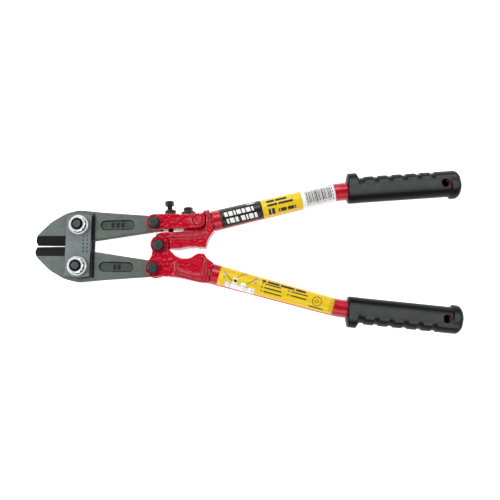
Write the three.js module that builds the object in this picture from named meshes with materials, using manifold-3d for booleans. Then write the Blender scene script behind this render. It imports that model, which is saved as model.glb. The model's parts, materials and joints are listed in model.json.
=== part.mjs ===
// Compact bolt cutters: centre-cut jaws worked by two levers through a compound linkage.
// Millimetres, +Z up. The tool lies flat on z = 0 with its jaws toward -X, and the axis
// of the main pivot is x = y = 0.

import * as THREE from 'three';
import { mergeVertices } from 'three/addons/utils/BufferGeometryUtils.js';
import Module from 'manifold-3d';

const wasm = await Module();
wasm.setup();

// ---- Linkage, in plan ------------------------------------------------------------------
const pivotReach = 19.4; // main pivot to the tail bolt of a jaw
const tailLead = 13.2; // degrees that the tail bolts lie ahead of the main pivot
const jawReach = 62.2; // tail bolt to jaw bolt
const strapPitch = 34.2; // between the two jaw bolts
const handleSway = 0.95; // degrees that both levers lie over to one side as the tool rests
const bossReach = 31.7; // main pivot to the link's boss, along the tool
const bossOut = 21.7; // main pivot to the link's boss, across the tool

// ---- Thicknesses, from the middle plane outwards ---------------------------------------
const jawThickness = 9.5;
const plateGap = 0.3; // between faces that rest on each other
const plateThickness = 3.8; // straps, and the cheeks of levers and link
const footThickness = 3.65; // bolt heads and nuts on the underside

// ---- Jaws and straps -------------------------------------------------------------------
const bladeReach = 37.0; // jaw bolt to the nose of the blade
const bevelHeight = 8.0; // width of the ground bevel
const edgeFlat = 0.7; // flat left on the cutting edge
const mouthGap = 0.9; // between the blades at the nose
const heelGap = 0.5; // between the blades at the heel
const bladeHeel = 9.5; // jaw bolt to the heel of the blade
const backHeight = 12.8; // jaw bolt to the highest point of the jaw's back
const jawTailRadius = 6.4;
const strapWidth = 21.2;
const strapOverhang = 9.6; // strap beyond each jaw bolt
const pocketLength = 27.7;
const pocketWidth = 7.4;
const pocketDepth = 1.1;

// ---- Bolts -----------------------------------------------------------------------------
const jawBoltRadius = 4.5;
const jawThreadRadius = 3.5;
const flangeRadius = 8.0;
const flangeNutHeight = 6.4;
const jawBoltProud = 1.0; // thread beyond the flange nut
const tailBoltRadius = 2.6;
const mainBoltRadius = 3.1;
const hexAcross = 9.4; // across the flats of the lever bolts
const hexHeight = 4.2;
const runningClearance = 0.1; // all round a pin in its hole
const threadClearance = 0.1; // all round a thread in its nut
const tailSlotTravel = 2.0; // each way, in the upper jaw's tail
const tailSlotSide = 0.6; // to each side of the bolt in that slot
const tailDrift = 1.8; // how far that jaw's tail wanders in the link's fork

// ---- Levers and link -------------------------------------------------------------------
const eyeRadius = 7.6; // cheek of the lower lever at the main pivot
const shoulderRadius = 9.1; // hollow shoulder of the upper lever round that cheek
const tongueRadius = 6.2;
const sideClearance = 0.5; // round a tail or a tongue inside its fork
const linkEndRadius = 6.3;
const linkTailRadius = 6.9;
const linkPinRadius = 4.0;
const webStep = 0.8; // depth of the sunk webs of the levers
const neckReach = 43.35; // main pivot to the middle of a lever's neck, along the tool
const neckOut = 21.95;
const neckWidth = 17.3;
const tangLength = 24.0;

// ---- Adjusting screw and clamp bolt ----------------------------------------------------
const screwLean = 4.0; // degrees from square to the tool
const screwRadius = 2.3;
const screwAhead = 23.3; // from the link's boss back to the screw
const clampAhead = 8.3; // from the link's boss back to the clamp bolt
const clampRadius = 2.0;
const screwHeadAcross = 6.9; // across the flats of the screw's and the clamp bolt's heads
const lockNutAcross = 8.6;
const clampStandOff = 0.8; // seat of the clamp bolt above the link's back

// ---- Handles ---------------------------------------------------------------------------
const tubeSlope = 14.37; // degrees, lever neck to bend
const gripSlope = 4.9; // degrees, bend to end
const neckToBend = 107.9;
const bendToEnd = 104.9;
const bendRadius = 60;
const tubeRadiusFront = 8.65;
const tubeRadiusRear = 7.5;
const tubeWall = 1.6;
const gripStart = 8.5; // bend to the mouth of the grip
const gripRadius = 10.5;
const gripClearance = 0.3;
const gripCap = 5.0; // rubber beyond the end of the tube
const guardLength = 11;
const endBeadLength = 10;
const ridgeCount = 6;
const ridgeHeight = 0.9;
const hangInset = 15.2; // end of the grip to the hang hole
const hangHoleGrip = 4.0;
const hangHoleTube = 3.3;

// ---- Derived places --------------------------------------------------------------------
const halfJaw = jawThickness / 2;
const cheekInner = halfJaw + plateGap;
const cheekOuter = cheekInner + plateThickness;
const headSeat = cheekOuter + plateGap;
const midHeight = headSeat + footThickness; // middle plane above the resting surface
const degrees = THREE.MathUtils.degToRad;
const arcSag = 0.05; // how far a facet may cut inside its arc

const tail = {
  x: -pivotReach * Math.sin(degrees(tailLead)),
  y: pivotReach * Math.cos(degrees(tailLead)),
};
const jawBolt = { x: 0, y: strapPitch / 2 };
jawBolt.x = tail.x - Math.sqrt(jawReach ** 2 - (tail.y - jawBolt.y) ** 2);
const boss = { x: bossReach, y: bossOut };
const mainPivot = { x: 0, y: 0 };

const swayed = ({ x, y }) => {
  const turn = degrees(-handleSway);
  return {
    x: x * Math.cos(turn) - y * Math.sin(turn),
    y: x * Math.sin(turn) + y * Math.cos(turn),
  };
};
const upperTail = swayed(tail);
const lowerTail = swayed({ x: tail.x, y: -tail.y });

// ---- Materials -------------------------------------------------------------------------
const material = (color, roughness, metalness) =>
  new THREE.MeshStandardMaterial({ color, roughness, metalness });
const jawSteel = material(0x69716e, 0.55, 0.6);
const strapSteel = material(0x858d8c, 0.5, 0.65);
const redEnamel = material(0xc8102e, 0.35, 0.1);
const blackSteel = material(0x26282a, 0.45, 0.7);
const hexSteel = material(0x4a4f4e, 0.5, 0.7);
const zincSteel = material(0xd4d6d8, 0.25, 0.9);
const blackRubber = material(0x26282a, 0.85, 0.0);

// ---- Solids ----------------------------------------------------------------------------
function solidOf(geometry) {
  const bare = geometry.clone();
  bare.deleteAttribute('normal');
  bare.deleteAttribute('uv');
  const merged = mergeVertices(bare, 1e-4);
  return new wasm.Manifold(new wasm.Mesh({
    numProp: 3,
    vertProperties: new Float32Array(merged.attributes.position.array),
    triVerts: new Uint32Array(merged.index.array),
  }));
}

function geometryOf(solid) {
  const mesh = solid.getMesh();
  const geometry = new THREE.BufferGeometry();
  geometry.setAttribute('position', new THREE.BufferAttribute(mesh.vertProperties, 3));
  geometry.setIndex(new THREE.BufferAttribute(mesh.triVerts, 1));
  const facets = geometry.toNonIndexed();
  facets.computeVertexNormals();
  return facets;
}

function joined(solids) {
  return solids.reduce((whole, next) => whole.add(next));
}

// An outline whose corners are [x, y, fillet radius]; a fillet stays inside its two sides.
function outline(corners) {
  const count = corners.length;
  const points = corners.flatMap(([x, y, radius = 0], i) => {
    const corner = new THREE.Vector2(x, y);
    const before = new THREE.Vector2(...corners[(i + count - 1) % count]).sub(corner);
    const after = new THREE.Vector2(...corners[(i + 1) % count]).sub(corner);
    const half = Math.acos(THREE.MathUtils.clamp(
      before.dot(after) / (before.length() * after.length()), -1, 1)) / 2;
    const room = 0.49 * Math.min(before.length(), after.length());
    const reach = Math.min(radius / Math.tan(half), room);
    if (reach < 0.02 || Math.PI / 2 - half < 0.01) {
      return [corner];
    }
    const middle = before.clone().normalize().add(after.clone().normalize()).normalize();
    const centre = corner.clone().addScaledVector(middle, reach / Math.cos(half));
    const spoke = corner.clone().addScaledVector(before.normalize(), reach).sub(centre);
    const sweep = (Math.PI - 2 * half) * Math.sign(after.cross(before));
    const facet = 2 * Math.acos(1 - Math.min(arcSag / (reach * Math.tan(half)), 0.2));
    const steps = Math.ceil(Math.abs(sweep) / facet);
    return Array.from({ length: steps + 1 }, (_, k) => spoke.clone()
      .rotateAround(new THREE.Vector2(), sweep * k / steps).add(centre));
  });
  return new THREE.Shape(points);
}

// A plan shape between two heights, with its rims chamfered if asked.
function slab(shape, low, high, chamfer = 0) {
  const geometry = new THREE.ExtrudeGeometry(shape, {
    depth: high - low - 2 * chamfer,
    curveSegments: 5,
    bevelEnabled: chamfer > 0,
    bevelThickness: chamfer,
    bevelSize: chamfer,
    bevelOffset: -chamfer,
    bevelSegments: 1,
  });
  geometry.translate(0, 0, low + chamfer);
  return solidOf(geometry);
}

function disc(centre, radius, low, high, sides = 32) {
  const geometry = new THREE.CylinderGeometry(radius, radius, high - low, sides);
  geometry.rotateX(Math.PI / 2);
  geometry.translate(centre.x, centre.y, (low + high) / 2);
  return solidOf(geometry);
}

// A round-ended bar between two centres.
function bar(from, to, radius, low, high) {
  const along = Math.atan2(to.y - from.y, to.x - from.x);
  const shape = new THREE.Shape();
  shape.absarc(to.x, to.y, radius, along - Math.PI / 2, along + Math.PI / 2);
  shape.absarc(from.x, from.y, radius, along + Math.PI / 2, along + 1.5 * Math.PI);
  shape.closePath();
  return slab(shape, low, high);
}

function block(xLow, xHigh, yLow, yHigh, zLow, zHigh) {
  const geometry = new THREE.BoxGeometry(xHigh - xLow, yHigh - yLow, zHigh - zLow);
  geometry.translate((xLow + xHigh) / 2, (yLow + yHigh) / 2, (zLow + zHigh) / 2);
  return solidOf(geometry);
}

// A body turned about +Z, from [radius, height] pairs that start and end on the axis.
function turned(profile, sides = 32) {
  const points = profile.map(([radius, height]) => new THREE.Vector2(radius, height));
  const geometry = new THREE.LatheGeometry(points, sides);
  geometry.rotateX(Math.PI / 2);
  return solidOf(geometry);
}

// A regular prism about +Z, with its rims chamfered if asked.
function hexagon(acrossFlats, low, high, chamfer = 0, turn = 0) {
  const reach = acrossFlats / Math.sqrt(3);
  const corners = Array.from({ length: 6 }, (_, i) => {
    const angle = degrees(turn + 60 * i);
    return [reach * Math.cos(angle), reach * Math.sin(angle)];
  });
  return slab(outline(corners), low, high, chamfer);
}

const placed = (solid, { x, y }) => solid.translate([x, y, 0]);
const leaning = (solid) => solid.rotate([-90, 0, 0]).rotate([0, 0, screwLean]);
const mirrored = (solid, side) => (side > 0 ? solid : solid.mirror([0, 1, 0]));

// Both outer zones of a shape: beyond `inner` on the upper and on the lower side.
function outerZones(shape, inner, outer) {
  return slab(shape, inner, outer).add(slab(shape, -outer, -inner));
}

// ---- Jaws and straps -------------------------------------------------------------------
function jaw(side) {
  const { x, y } = jawBolt;
  const nose = x - bladeReach;
  const heel = x - bladeHeel;
  const peak = y + backHeight;
  const body = slab(outline([
    [nose + 1.2, mouthGap / 2],
    [nose, 4.7, 4],
    [nose + 2.2, bevelHeight + 1.5, 6],
    [nose + 12.8, y + 3.0, 30],
    [nose + 25.4, peak - 2.4, 20],
    [x - 1.0, peak + 0.3, 16],
    [x + 19.2, peak - 1.7, 60],
    [tail.x - 0.6, tail.y + jawTailRadius, 3],
    [tail.x + 0.6, tail.y - jawTailRadius, 3],
    [x + 42.0, tail.y - 9.6, 60],
    [x + 9.6, 4.4, 4],
    [heel + 2.6, 4.4, 1.5],
    [heel, heelGap / 2],
  ]), -halfJaw, halfJaw, 0.4);
  const slope = (halfJaw - edgeFlat / 2) / bevelHeight;
  const wedge = slab(outline([
    [mouthGap / 2 - 2, edgeFlat / 2 - 2 * slope],
    [mouthGap / 2 - 2, halfJaw + 1],
    [mouthGap / 2 + bevelHeight + 1 / slope, halfJaw + 1],
  ]), nose - 1, heel + 1.5).rotate([90, 0, 90]);
  const pocketFrom = { x: x + 17.6 + pocketWidth / 2, y: y + 0.1 };
  const pocketTo = { x: x + 17.6 + pocketLength - pocketWidth / 2, y: y + 0.6 };
  const pocket = bar(pocketFrom, pocketTo, pocketWidth / 2, halfJaw - pocketDepth, halfJaw + 1);
  const slotTravel = side > 0 ? tailSlotTravel : 0;
  const tailHole = slotTravel > 0
    ? bar({ x: tail.x, y: tail.y - slotTravel }, { x: tail.x, y: tail.y + slotTravel },
      tailBoltRadius + tailSlotSide, -halfJaw - 1, halfJaw + 1)
    : disc(tail, tailBoltRadius + runningClearance, -halfJaw - 1, halfJaw + 1);
  const solid = body
    .add(disc(tail, jawTailRadius, -halfJaw, halfJaw))
    .subtract(wedge)
    .subtract(wedge.mirror([0, 0, 1]))
    .subtract(pocket)
    .subtract(pocket.mirror([0, 0, 1]))
    .subtract(disc(jawBolt, jawBoltRadius + runningClearance, -halfJaw - 1, halfJaw + 1))
    .subtract(tailHole);
  return mirrored(solid, side).translate([-tail.x, -side * tail.y, 0]);
}

function strap() {
  const halfWidth = strapWidth / 2;
  const halfHeight = strapPitch / 2 + strapOverhang;
  const plate = slab(outline([
    [-halfWidth, -halfHeight + 1.4, 0.8],
    [0, -halfHeight - 0.6, 60],
    [halfWidth, -halfHeight + 1.4, 0.8],
    [halfWidth, halfHeight - 1.4, 0.8],
    [0, halfHeight + 0.6, 60],
    [-halfWidth, halfHeight - 1.4, 0.8],
  ]), cheekInner, cheekOuter, 0.3);
  const holes = [-1, 1].map((side) => disc({ x: 0, y: side * strapPitch / 2 },
    jawBoltRadius + runningClearance, cheekInner - 1, cheekOuter + 1));
  return plate.subtract(joined(holes));
}

function jawBoltSolid() {
  const top = headSeat + flangeNutHeight + jawBoltProud;
  const headRadius = jawBoltRadius + 3;
  return turned([
    [0, -midHeight],
    [headRadius - 0.6, -midHeight],
    [headRadius, -midHeight + 0.6],
    [headRadius, -headSeat],
    [jawBoltRadius, -headSeat],
    [jawBoltRadius, cheekOuter - 1],
    [jawThreadRadius, cheekOuter - 0.2],
    [jawThreadRadius, top - 0.5],
    [jawThreadRadius - 0.5, top],
    [0, top],
  ]);
}

// A nut with twelve points on a round flange.
function flangeNut() {
  const top = headSeat + flangeNutHeight;
  const star = Array.from({ length: 24 }, (_, i) => {
    const radius = i % 2 ? flangeRadius - 1.9 : flangeRadius - 1.1;
    return [radius * Math.cos(i * Math.PI / 12), radius * Math.sin(i * Math.PI / 12)];
  });
  const flange = turned([
    [0, headSeat],
    [flangeRadius, headSeat],
    [flangeRadius, headSeat + 1.1],
    [flangeRadius - 1.1, headSeat + 2],
    [0, headSeat + 2],
  ]);
  const mouth = jawThreadRadius + 1.2;
  const countersink = turned([
    [0, top - 1.2],
    [jawThreadRadius, top - 1.2],
    [mouth, top],
    [mouth, top + 1],
    [0, top + 1],
  ]);
  return flange
    .add(slab(outline(star), headSeat + 1, top, 0.3))
    .subtract(countersink)
    .subtract(disc(mainPivot, jawThreadRadius + threadClearance, headSeat - 1, top + 1));
}

// ---- Lever bolts -----------------------------------------------------------------------
function hexBolt(radius, turn) {
  return hexagon(hexAcross, headSeat, headSeat + hexHeight, 0.5, turn)
    .add(disc(mainPivot, radius, -midHeight, headSeat + 1));
}

function hexNut(radius, turn) {
  return hexagon(hexAcross + 0.6, -midHeight, -headSeat, 0.4, turn)
    .subtract(disc(mainPivot, radius + threadClearance, -midHeight - 1, -headSeat + 1));
}

// ---- Levers ----------------------------------------------------------------------------
const neckDirection = { x: Math.cos(degrees(tubeSlope)), y: Math.sin(degrees(tubeSlope)) };
const neckSide = (out) => [
  neckReach - out * neckDirection.y,
  neckOut + out * neckDirection.x,
];
const tubeBoreRadius = tubeRadiusFront - tubeWall;

// A round tang that fills the front of the handle tube.
function tang() {
  const radius = tubeBoreRadius - gripClearance;
  const geometry = new THREE.CylinderGeometry(radius - 1.2, radius, tangLength + 2, 24);
  geometry.rotateZ(degrees(tubeSlope) - Math.PI / 2);
  geometry.translate(
    neckReach + neckDirection.x * (tangLength - 2) / 2,
    neckOut + neckDirection.y * (tangLength - 2) / 2,
    0,
  );
  return solidOf(geometry);
}

// The plan of the link, round its tail bolt and its boss.
const linkCorners = [
  [tail.x - linkTailRadius, tail.y - linkTailRadius + 0.4, linkTailRadius - 0.2],
  [tail.x - linkTailRadius, tail.y + linkTailRadius + 0.3, linkTailRadius - 0.2],
  [boss.x - 18.3, boss.y + 5.4, 3],
  [boss.x - 14.9, boss.y + 4.8, 3],
  [boss.x - 3.1, boss.y + 5.9, 8],
  [boss.x + linkEndRadius, boss.y + linkEndRadius, linkEndRadius],
  [boss.x + linkEndRadius, boss.y - linkEndRadius, linkEndRadius],
  [boss.x - 21.2, boss.y - 7.4, 10],
];
const lugFace = boss.x - 10.7; // front of the lug that the link straddles
const lugTop = boss.y + 1.9;

function upperLever() {
  const body = slab(outline([
    [shoulderRadius - 0.1, -1.7, 0],
    [15.9, -2.2, 20],
    [22.5, -0.5, 20],
    [31.3, -0.1, 1],
    [32.6, -0.7, 0.5],
    [39.1, -0.7, 1.2],
    [40.3, 6.4, 14],
    neckSide(-neckWidth / 2),
    neckSide(neckWidth / 2),
    [boss.x + 8.6, boss.y + 8.8, 3],
    [boss.x + 4.2, boss.y + 7.9, 3],
    [boss.x + 0.6, boss.y + 5.4, 1],
    [boss.x - 3.4, boss.y + 5.2, 0.5],
    [boss.x - 3.4, lugTop, 0.5],
    [lugFace, lugTop, 0.8],
    [lugFace, 12.5, 0.6],
    [13.0, 11.6, 12],
    [7.9, 11.5, 8],
    [2.3, 11.0, 5],
    [-1.8, 9.7, 1],
    [-4.0, 7.6, 0],
    [-1.4, 6.0, 0],
    [-1.0, -5.6, 0],
  ]), -cheekOuter, cheekOuter);
  const corner = shoulderRadius + 1;
  const eyeRoom = outerZones(outline([
    [-corner, -corner, corner],
    [corner - 1, -corner, corner],
    [corner - 1, corner, corner],
    [-corner, corner, corner],
  ]), halfJaw, cheekOuter + 1);
  const shoulder = disc(mainPivot, shoulderRadius, halfJaw, cheekOuter + 1, 48)
    .add(disc(mainPivot, shoulderRadius, -cheekOuter - 1, -halfJaw, 48));
  const linkSeat = outerZones(outline([
    [lugFace - 3, boss.y - 8.8],
    [boss.x + 7.0, boss.y - 8.8, 6],
    [boss.x + 7.0, boss.y + 4.0, 5],
    [boss.x + 3.6, boss.y + 9.0],
    [lugFace - 3, boss.y + 9.0],
  ]), halfJaw, cheekOuter + 1);
  const web = outerZones(outline([
    [7.3, 7.2, 1],
    [18.5, 6.8, 10],
    [33.8, 8.0, 6],
    [43.0, 11.0, 2],
    [50.0, 8.0],
    [50.0, -6.0],
    [7.3, -6.0],
  ]), cheekOuter - webStep, cheekOuter + 1);
  return body
    .add(disc(mainPivot, tongueRadius, -halfJaw, halfJaw))
    .subtract(shoulder)
    .subtract(eyeRoom.intersect(block(-corner, 4, -corner, 8, -20, 20)))
    .subtract(linkSeat)
    .subtract(web)
    .add(tang())
    .subtract(disc(mainPivot, mainBoltRadius + runningClearance, -20, 20))
    .subtract(disc(boss, linkPinRadius + runningClearance, -20, 20))
    .subtract(clampHole(clampRadius + threadClearance));
}

function lowerLever() {
  const body = slab(outline([
    [10.0, 4.4, 0],
    [13.5, 7.9, 6],
    [18.5, 10.3, 8],
    [25.5, 10.3, 8],
    [32.2, 5.9, 1],
    [37.6, 5.8, 1.5],
    [40.0, 9.6, 6],
    neckSide(-neckWidth / 2),
    neckSide(neckWidth / 2),
    [33.6, 29.7, 40],
    [15.9, 25.8, 60],
    [tail.x + 5.5, tail.y + 6.2, 20],
    [tail.x - 1.6, tail.y + 8.0, 4],
    [tail.x - 6.3, tail.y + 2.4, 3],
    [tail.x - 6.3, tail.y - 3.0, 3],
    [tail.x - 1.5, tail.y - 9.5, 8],
    [-5.2, 4.6, 4],
    [-6.6, -0.4, 4],
    [0, -4, 0],
  ]), -cheekOuter, cheekOuter);
  const eyeCentre = { x: 0.6, y: -0.9 };
  const forkRoom = joined([
    disc(mainPivot, shoulderRadius + plateGap, -cheekInner, cheekInner, 48),
    bar(tail, { x: tail.x, y: tail.y + 12 }, jawTailRadius + sideClearance,
      -cheekInner, cheekInner),
    block(tail.x - 30, tail.x, -20, 50, -cheekInner, cheekInner),
  ]);
  const web = outerZones(outline([
    [15.6, 4.0],
    [15.2, 18.9, 2],
    [35.8, 23.9, 2],
    [39.2, 10.5, 1],
    [39.2, 4.0],
  ]), cheekOuter - webStep, cheekOuter + 1);
  const solid = body
    .add(disc(eyeCentre, eyeRadius, -cheekOuter, cheekOuter, 40))
    .subtract(forkRoom)
    .subtract(web)
    .add(tang())
    .subtract(disc(mainPivot, mainBoltRadius + runningClearance, -20, 20))
    .subtract(disc(tail, tailBoltRadius + runningClearance, -20, 20));
  return mirrored(solid, -1);
}

// ---- Adjusting link --------------------------------------------------------------------
const screwPlace = { x: boss.x - screwAhead, y: boss.y + 5.1 };
const clampPlace = { x: boss.x - clampAhead, y: boss.y + 5.4 + clampStandOff };

function adjustingLink() {
  const plan = slab(outline(linkCorners), -cheekOuter, cheekOuter, 0.6);
  const drifted = { x: tail.x + tailDrift, y: tail.y };
  const sunk = { x: tail.x + tailDrift / 2, y: tail.y - tailDrift };
  const jawRoom = joined([
    bar(tail, { x: tail.x, y: tail.y + 12 }, jawTailRadius + sideClearance,
      -cheekInner, cheekInner),
    bar(tail, drifted, jawTailRadius + sideClearance, -cheekInner, cheekInner),
    bar(tail, sunk, jawTailRadius + sideClearance, -cheekInner, cheekInner),
    block(tail.x - 30, tail.x, tail.y - 20, tail.y + 20, -cheekInner, cheekInner),
  ]);
  const lugRoom = joined([
    block(lugFace - 1.7, boss.x + 20, boss.y - 20, lugTop + 0.7, -cheekInner, cheekInner),
    block(boss.x - 4.2, boss.x + 20, boss.y - 20, boss.y + 20, -cheekInner, cheekInner),
  ]);
  const screwHole = placed(leaning(turned([
    [0, -30],
    [screwRadius + threadClearance, -30],
    [screwRadius + threadClearance, 30],
    [0, 30],
  ], 24)), screwPlace);
  return plan
    .subtract(jawRoom)
    .subtract(lugRoom)
    .subtract(screwHole)
    .subtract(clampHole(clampRadius + 0.5))
    .subtract(disc(tail, tailBoltRadius + runningClearance, -20, 20))
    .subtract(disc(boss, linkPinRadius + runningClearance, -20, 20));
}

function clampHole(radius) {
  return placed(leaning(turned([[0, -12], [radius, -12], [radius, 4], [0, 4]], 24)), clampPlace);
}

function linkPin() {
  const end = cheekOuter + 0.5;
  return turned([
    [0, -end],
    [linkPinRadius - 0.6, -end],
    [linkPinRadius, -end + 0.6],
    [linkPinRadius, end - 0.6],
    [linkPinRadius - 0.6, end],
    [0, end],
  ]);
}

// The screw, its lock nut and the clamp bolt are drawn along +Z from the top of the link.
const lockNutHeight = 3.7;
const screwTip = 15.0; // link's top to the end of the screw
const screwHeadLow = 7.6;
const screwHeadHeight = 4.3;

function adjustingScrew() {
  const shank = turned([
    [0, -screwTip],
    [screwRadius - 0.6, -screwTip],
    [screwRadius, -screwTip + 0.8],
    [screwRadius, screwHeadLow + 1],
    [0, screwHeadLow + 1],
  ], 24);
  const head = hexagon(screwHeadAcross, screwHeadLow, screwHeadLow + screwHeadHeight, 0.6, 15);
  return placed(leaning(shank.add(head)), screwPlace);
}

function adjustingLockNut() {
  const nut = hexagon(lockNutAcross, plateGap, plateGap + lockNutHeight, 0.5, 20)
    .subtract(disc(mainPivot, screwRadius + threadClearance, -1, 9, 24));
  return placed(leaning(nut), screwPlace);
}

function clampBolt() {
  const head = hexagon(screwHeadAcross, plateGap + 1, plateGap + 5.4, 0.6, 10);
  const shank = turned([
    [0, -11.5],
    [clampRadius, -11.5],
    [clampRadius, plateGap],
    [6.2, plateGap],
    [6.2, plateGap + 0.9],
    [4.6, plateGap + 1.7],
    [0, plateGap + 1.7],
  ], 24);
  return placed(leaning(shank.add(head)), clampPlace);
}

// ---- Handles ---------------------------------------------------------------------------
// The handle's centre line: straight from the neck, an arc at the bend, straight to the end.
const bendAngle = degrees(tubeSlope - gripSlope);
const bendTangent = bendRadius * Math.tan(bendAngle / 2);
const bendStart = neckToBend - bendTangent;
const bendLength = bendRadius * bendAngle;
const handleLength = bendStart + bendLength + bendToEnd - bendTangent;
const gripMouth = bendStart + bendLength + gripStart - bendTangent;

function centreLine(distance) {
  const onArc = THREE.MathUtils.clamp(distance - bendStart, 0, bendLength);
  const heading = degrees(tubeSlope) - onArc / bendRadius;
  const chord = 2 * bendRadius * Math.sin(onArc / bendRadius / 2);
  const chordHeading = degrees(tubeSlope) - onArc / bendRadius / 2;
  const first = Math.min(distance, bendStart);
  const last = Math.max(distance - bendStart - bendLength, 0);
  return {
    x: neckReach + first * neckDirection.x + chord * Math.cos(chordHeading)
      + last * Math.cos(heading),
    y: neckOut + first * neckDirection.y + chord * Math.sin(chordHeading)
      + last * Math.sin(heading),
    heading,
  };
}

// A turned body laid along the centre line. `swell` gives, for a distance along the handle
// and the share of a point that faces outwards, how far the point moves across the handle
// and how much its radius grows.
function alongHandle(profile, sides, swell = () => [0, 0]) {
  const points = profile.map(([radius, distance]) => new THREE.Vector2(radius, distance));
  const geometry = new THREE.LatheGeometry(points, sides);
  const position = geometry.attributes.position;
  for (let i = 0; i < position.count; i++) {
    const distance = position.getY(i);
    const across = -position.getX(i);
    const up = position.getZ(i);
    const radius = Math.hypot(across, up);
    const [shift, growth] = swell(distance, radius > 0 ? across / radius : 0);
    const scale = radius > 0 ? (radius + growth) / radius : 1;
    const { x, y, heading } = centreLine(distance);
    const out = across * scale + (radius > 0 ? shift : 0);
    position.setXYZ(i, x - out * Math.sin(heading), y + out * Math.cos(heading), up * scale);
  }
  return solidOf(geometry);
}

const spread = (from, to, count) =>
  Array.from({ length: count + 1 }, (_, i) => from + (to - from) * i / count);
const tubeRadiusAt = (distance) => THREE.MathUtils.lerp(
  tubeRadiusFront, tubeRadiusRear, THREE.MathUtils.clamp(distance / bendStart, 0, 1));
const hangPlace = centreLine(handleLength - hangInset);
const tubeEnd = handleLength - gripCap - gripClearance;

function handleTube(side) {
  const stations = [...spread(plateGap, bendStart, 2), ...spread(bendStart, bendStart
    + bendLength, 4).slice(1), tubeEnd];
  const outer = stations.map((distance) => [tubeRadiusAt(distance), distance]);
  const bore = stations.map((distance) => [tubeRadiusAt(distance) - tubeWall, distance]);
  const profile = [...outer, ...bore.reverse(), outer[0]];
  const tube = alongHandle(profile, 20)
    .subtract(disc(hangPlace, hangHoleTube, -20, 20));
  return mirrored(tube, side);
}

// How the grip leaves a plain round: a guard bulging outwards at the mouth, finger ridges
// on the outer side, and a bead at the end that hangs over on the inner side.
function gripSwell(distance, facing) {
  const fromMouth = distance - gripMouth;
  const fromEnd = handleLength - distance;
  const guardRise = Math.sin(Math.PI * THREE.MathUtils.clamp(fromMouth / guardLength, 0, 1));
  const beadRise = THREE.MathUtils.smoothstep(fromEnd, -0.01, 2.5)
    * (1 - THREE.MathUtils.smoothstep(fromEnd, endBeadLength - 1.5, endBeadLength + 0.5));
  const ridgeFrom = guardLength + 2;
  const ridgeSpan = (handleLength - gripMouth - endBeadLength - ridgeFrom) / ridgeCount;
  const phase = (fromMouth - ridgeFrom) / ridgeSpan;
  const onRidges = phase > 0 && phase < ridgeCount;
  const ridge = onRidges ? Math.sin(Math.PI * (phase % 1)) ** 0.5 : 0;
  const growth = (midHeight - gripRadius) * Math.max(guardRise, beadRise)
    + ridgeHeight * ridge * Math.max(facing, 0);
  return [2.2 * guardRise - 0.9 * beadRise, growth];
}

function grip(side) {
  const mouth = tubeRadiusRear + gripClearance + 1.6;
  const guardStations = spread(0, guardLength, 5).map((d) => [gripRadius, gripMouth + d]);
  guardStations[0] = [mouth, gripMouth];
  const ridgeFrom = gripMouth + guardLength + 2;
  const ridgeTo = handleLength - endBeadLength;
  const ridgeStations = spread(ridgeFrom, ridgeTo, ridgeCount * 3).map((d) => [gripRadius, d]);
  const endStations = [8.2, 5.5, 2.5].map((d) => [gripRadius, handleLength - d]);
  const outer = alongHandle([
    [0, gripMouth],
    ...guardStations,
    ...ridgeStations,
    ...endStations,
    [gripRadius, handleLength - 1.2],
    [gripRadius - 2.2, handleLength],
    [0, handleLength],
  ], 20, gripSwell);
  const boreStations = [gripMouth - 1, tubeEnd + gripClearance];
  const bore = alongHandle([
    [0, boreStations[0]],
    ...boreStations.map((d) => [tubeRadiusRear + gripClearance, d]),
    [0, boreStations[1]],
  ], 20);
  const sleeve = outer
    .subtract(bore)
    .subtract(disc(hangPlace, hangHoleGrip, -20, 20));
  return mirrored(sleeve, side);
}

// ---- Assembly --------------------------------------------------------------------------
function piece(name, solid, finish, position = { x: 0, y: 0 }) {
  const mesh = new THREE.Mesh(geometryOf(solid), finish);
  mesh.name = name;
  mesh.position.set(position.x, position.y, 0);
  return mesh;
}

const boltCutters = new THREE.Group();
boltCutters.name = 'bolt_cutters';
const middlePlane = new THREE.Group();
middlePlane.position.z = midHeight;
boltCutters.add(middlePlane);

middlePlane.add(
  piece('upper_jaw', jaw(1), jawSteel, upperTail),
  piece('lower_jaw', jaw(-1), jawSteel, lowerTail),
);

// The straps and jaw bolts lie between the two jaw bolts' places.
const fromTail = { x: jawBolt.x - tail.x, y: jawBolt.y - tail.y };
const upperJawBolt = { x: upperTail.x + fromTail.x, y: upperTail.y + fromTail.y };
const lowerJawBolt = { x: lowerTail.x + fromTail.x, y: lowerTail.y - fromTail.y };
const straps = new THREE.Group();
straps.position.set(
  (upperJawBolt.x + lowerJawBolt.x) / 2,
  (upperJawBolt.y + lowerJawBolt.y) / 2,
  0,
);
straps.rotation.z = -Math.atan2(
  upperJawBolt.x - lowerJawBolt.x, upperJawBolt.y - lowerJawBolt.y);
straps.add(
  piece('front_strap_plate', strap(), strapSteel),
  piece('rear_strap_plate', strap().mirror([0, 0, 1]), strapSteel),
);
for (const [name, side] of [['upper', 1], ['lower', -1]]) {
  const place = { x: 0, y: side * strapPitch / 2 };
  straps.add(
    piece(name + '_jaw_bolt', jawBoltSolid(), blackSteel, place),
    piece(name + '_jaw_nut', flangeNut(), zincSteel, place),
  );
}
middlePlane.add(straps);

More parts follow.
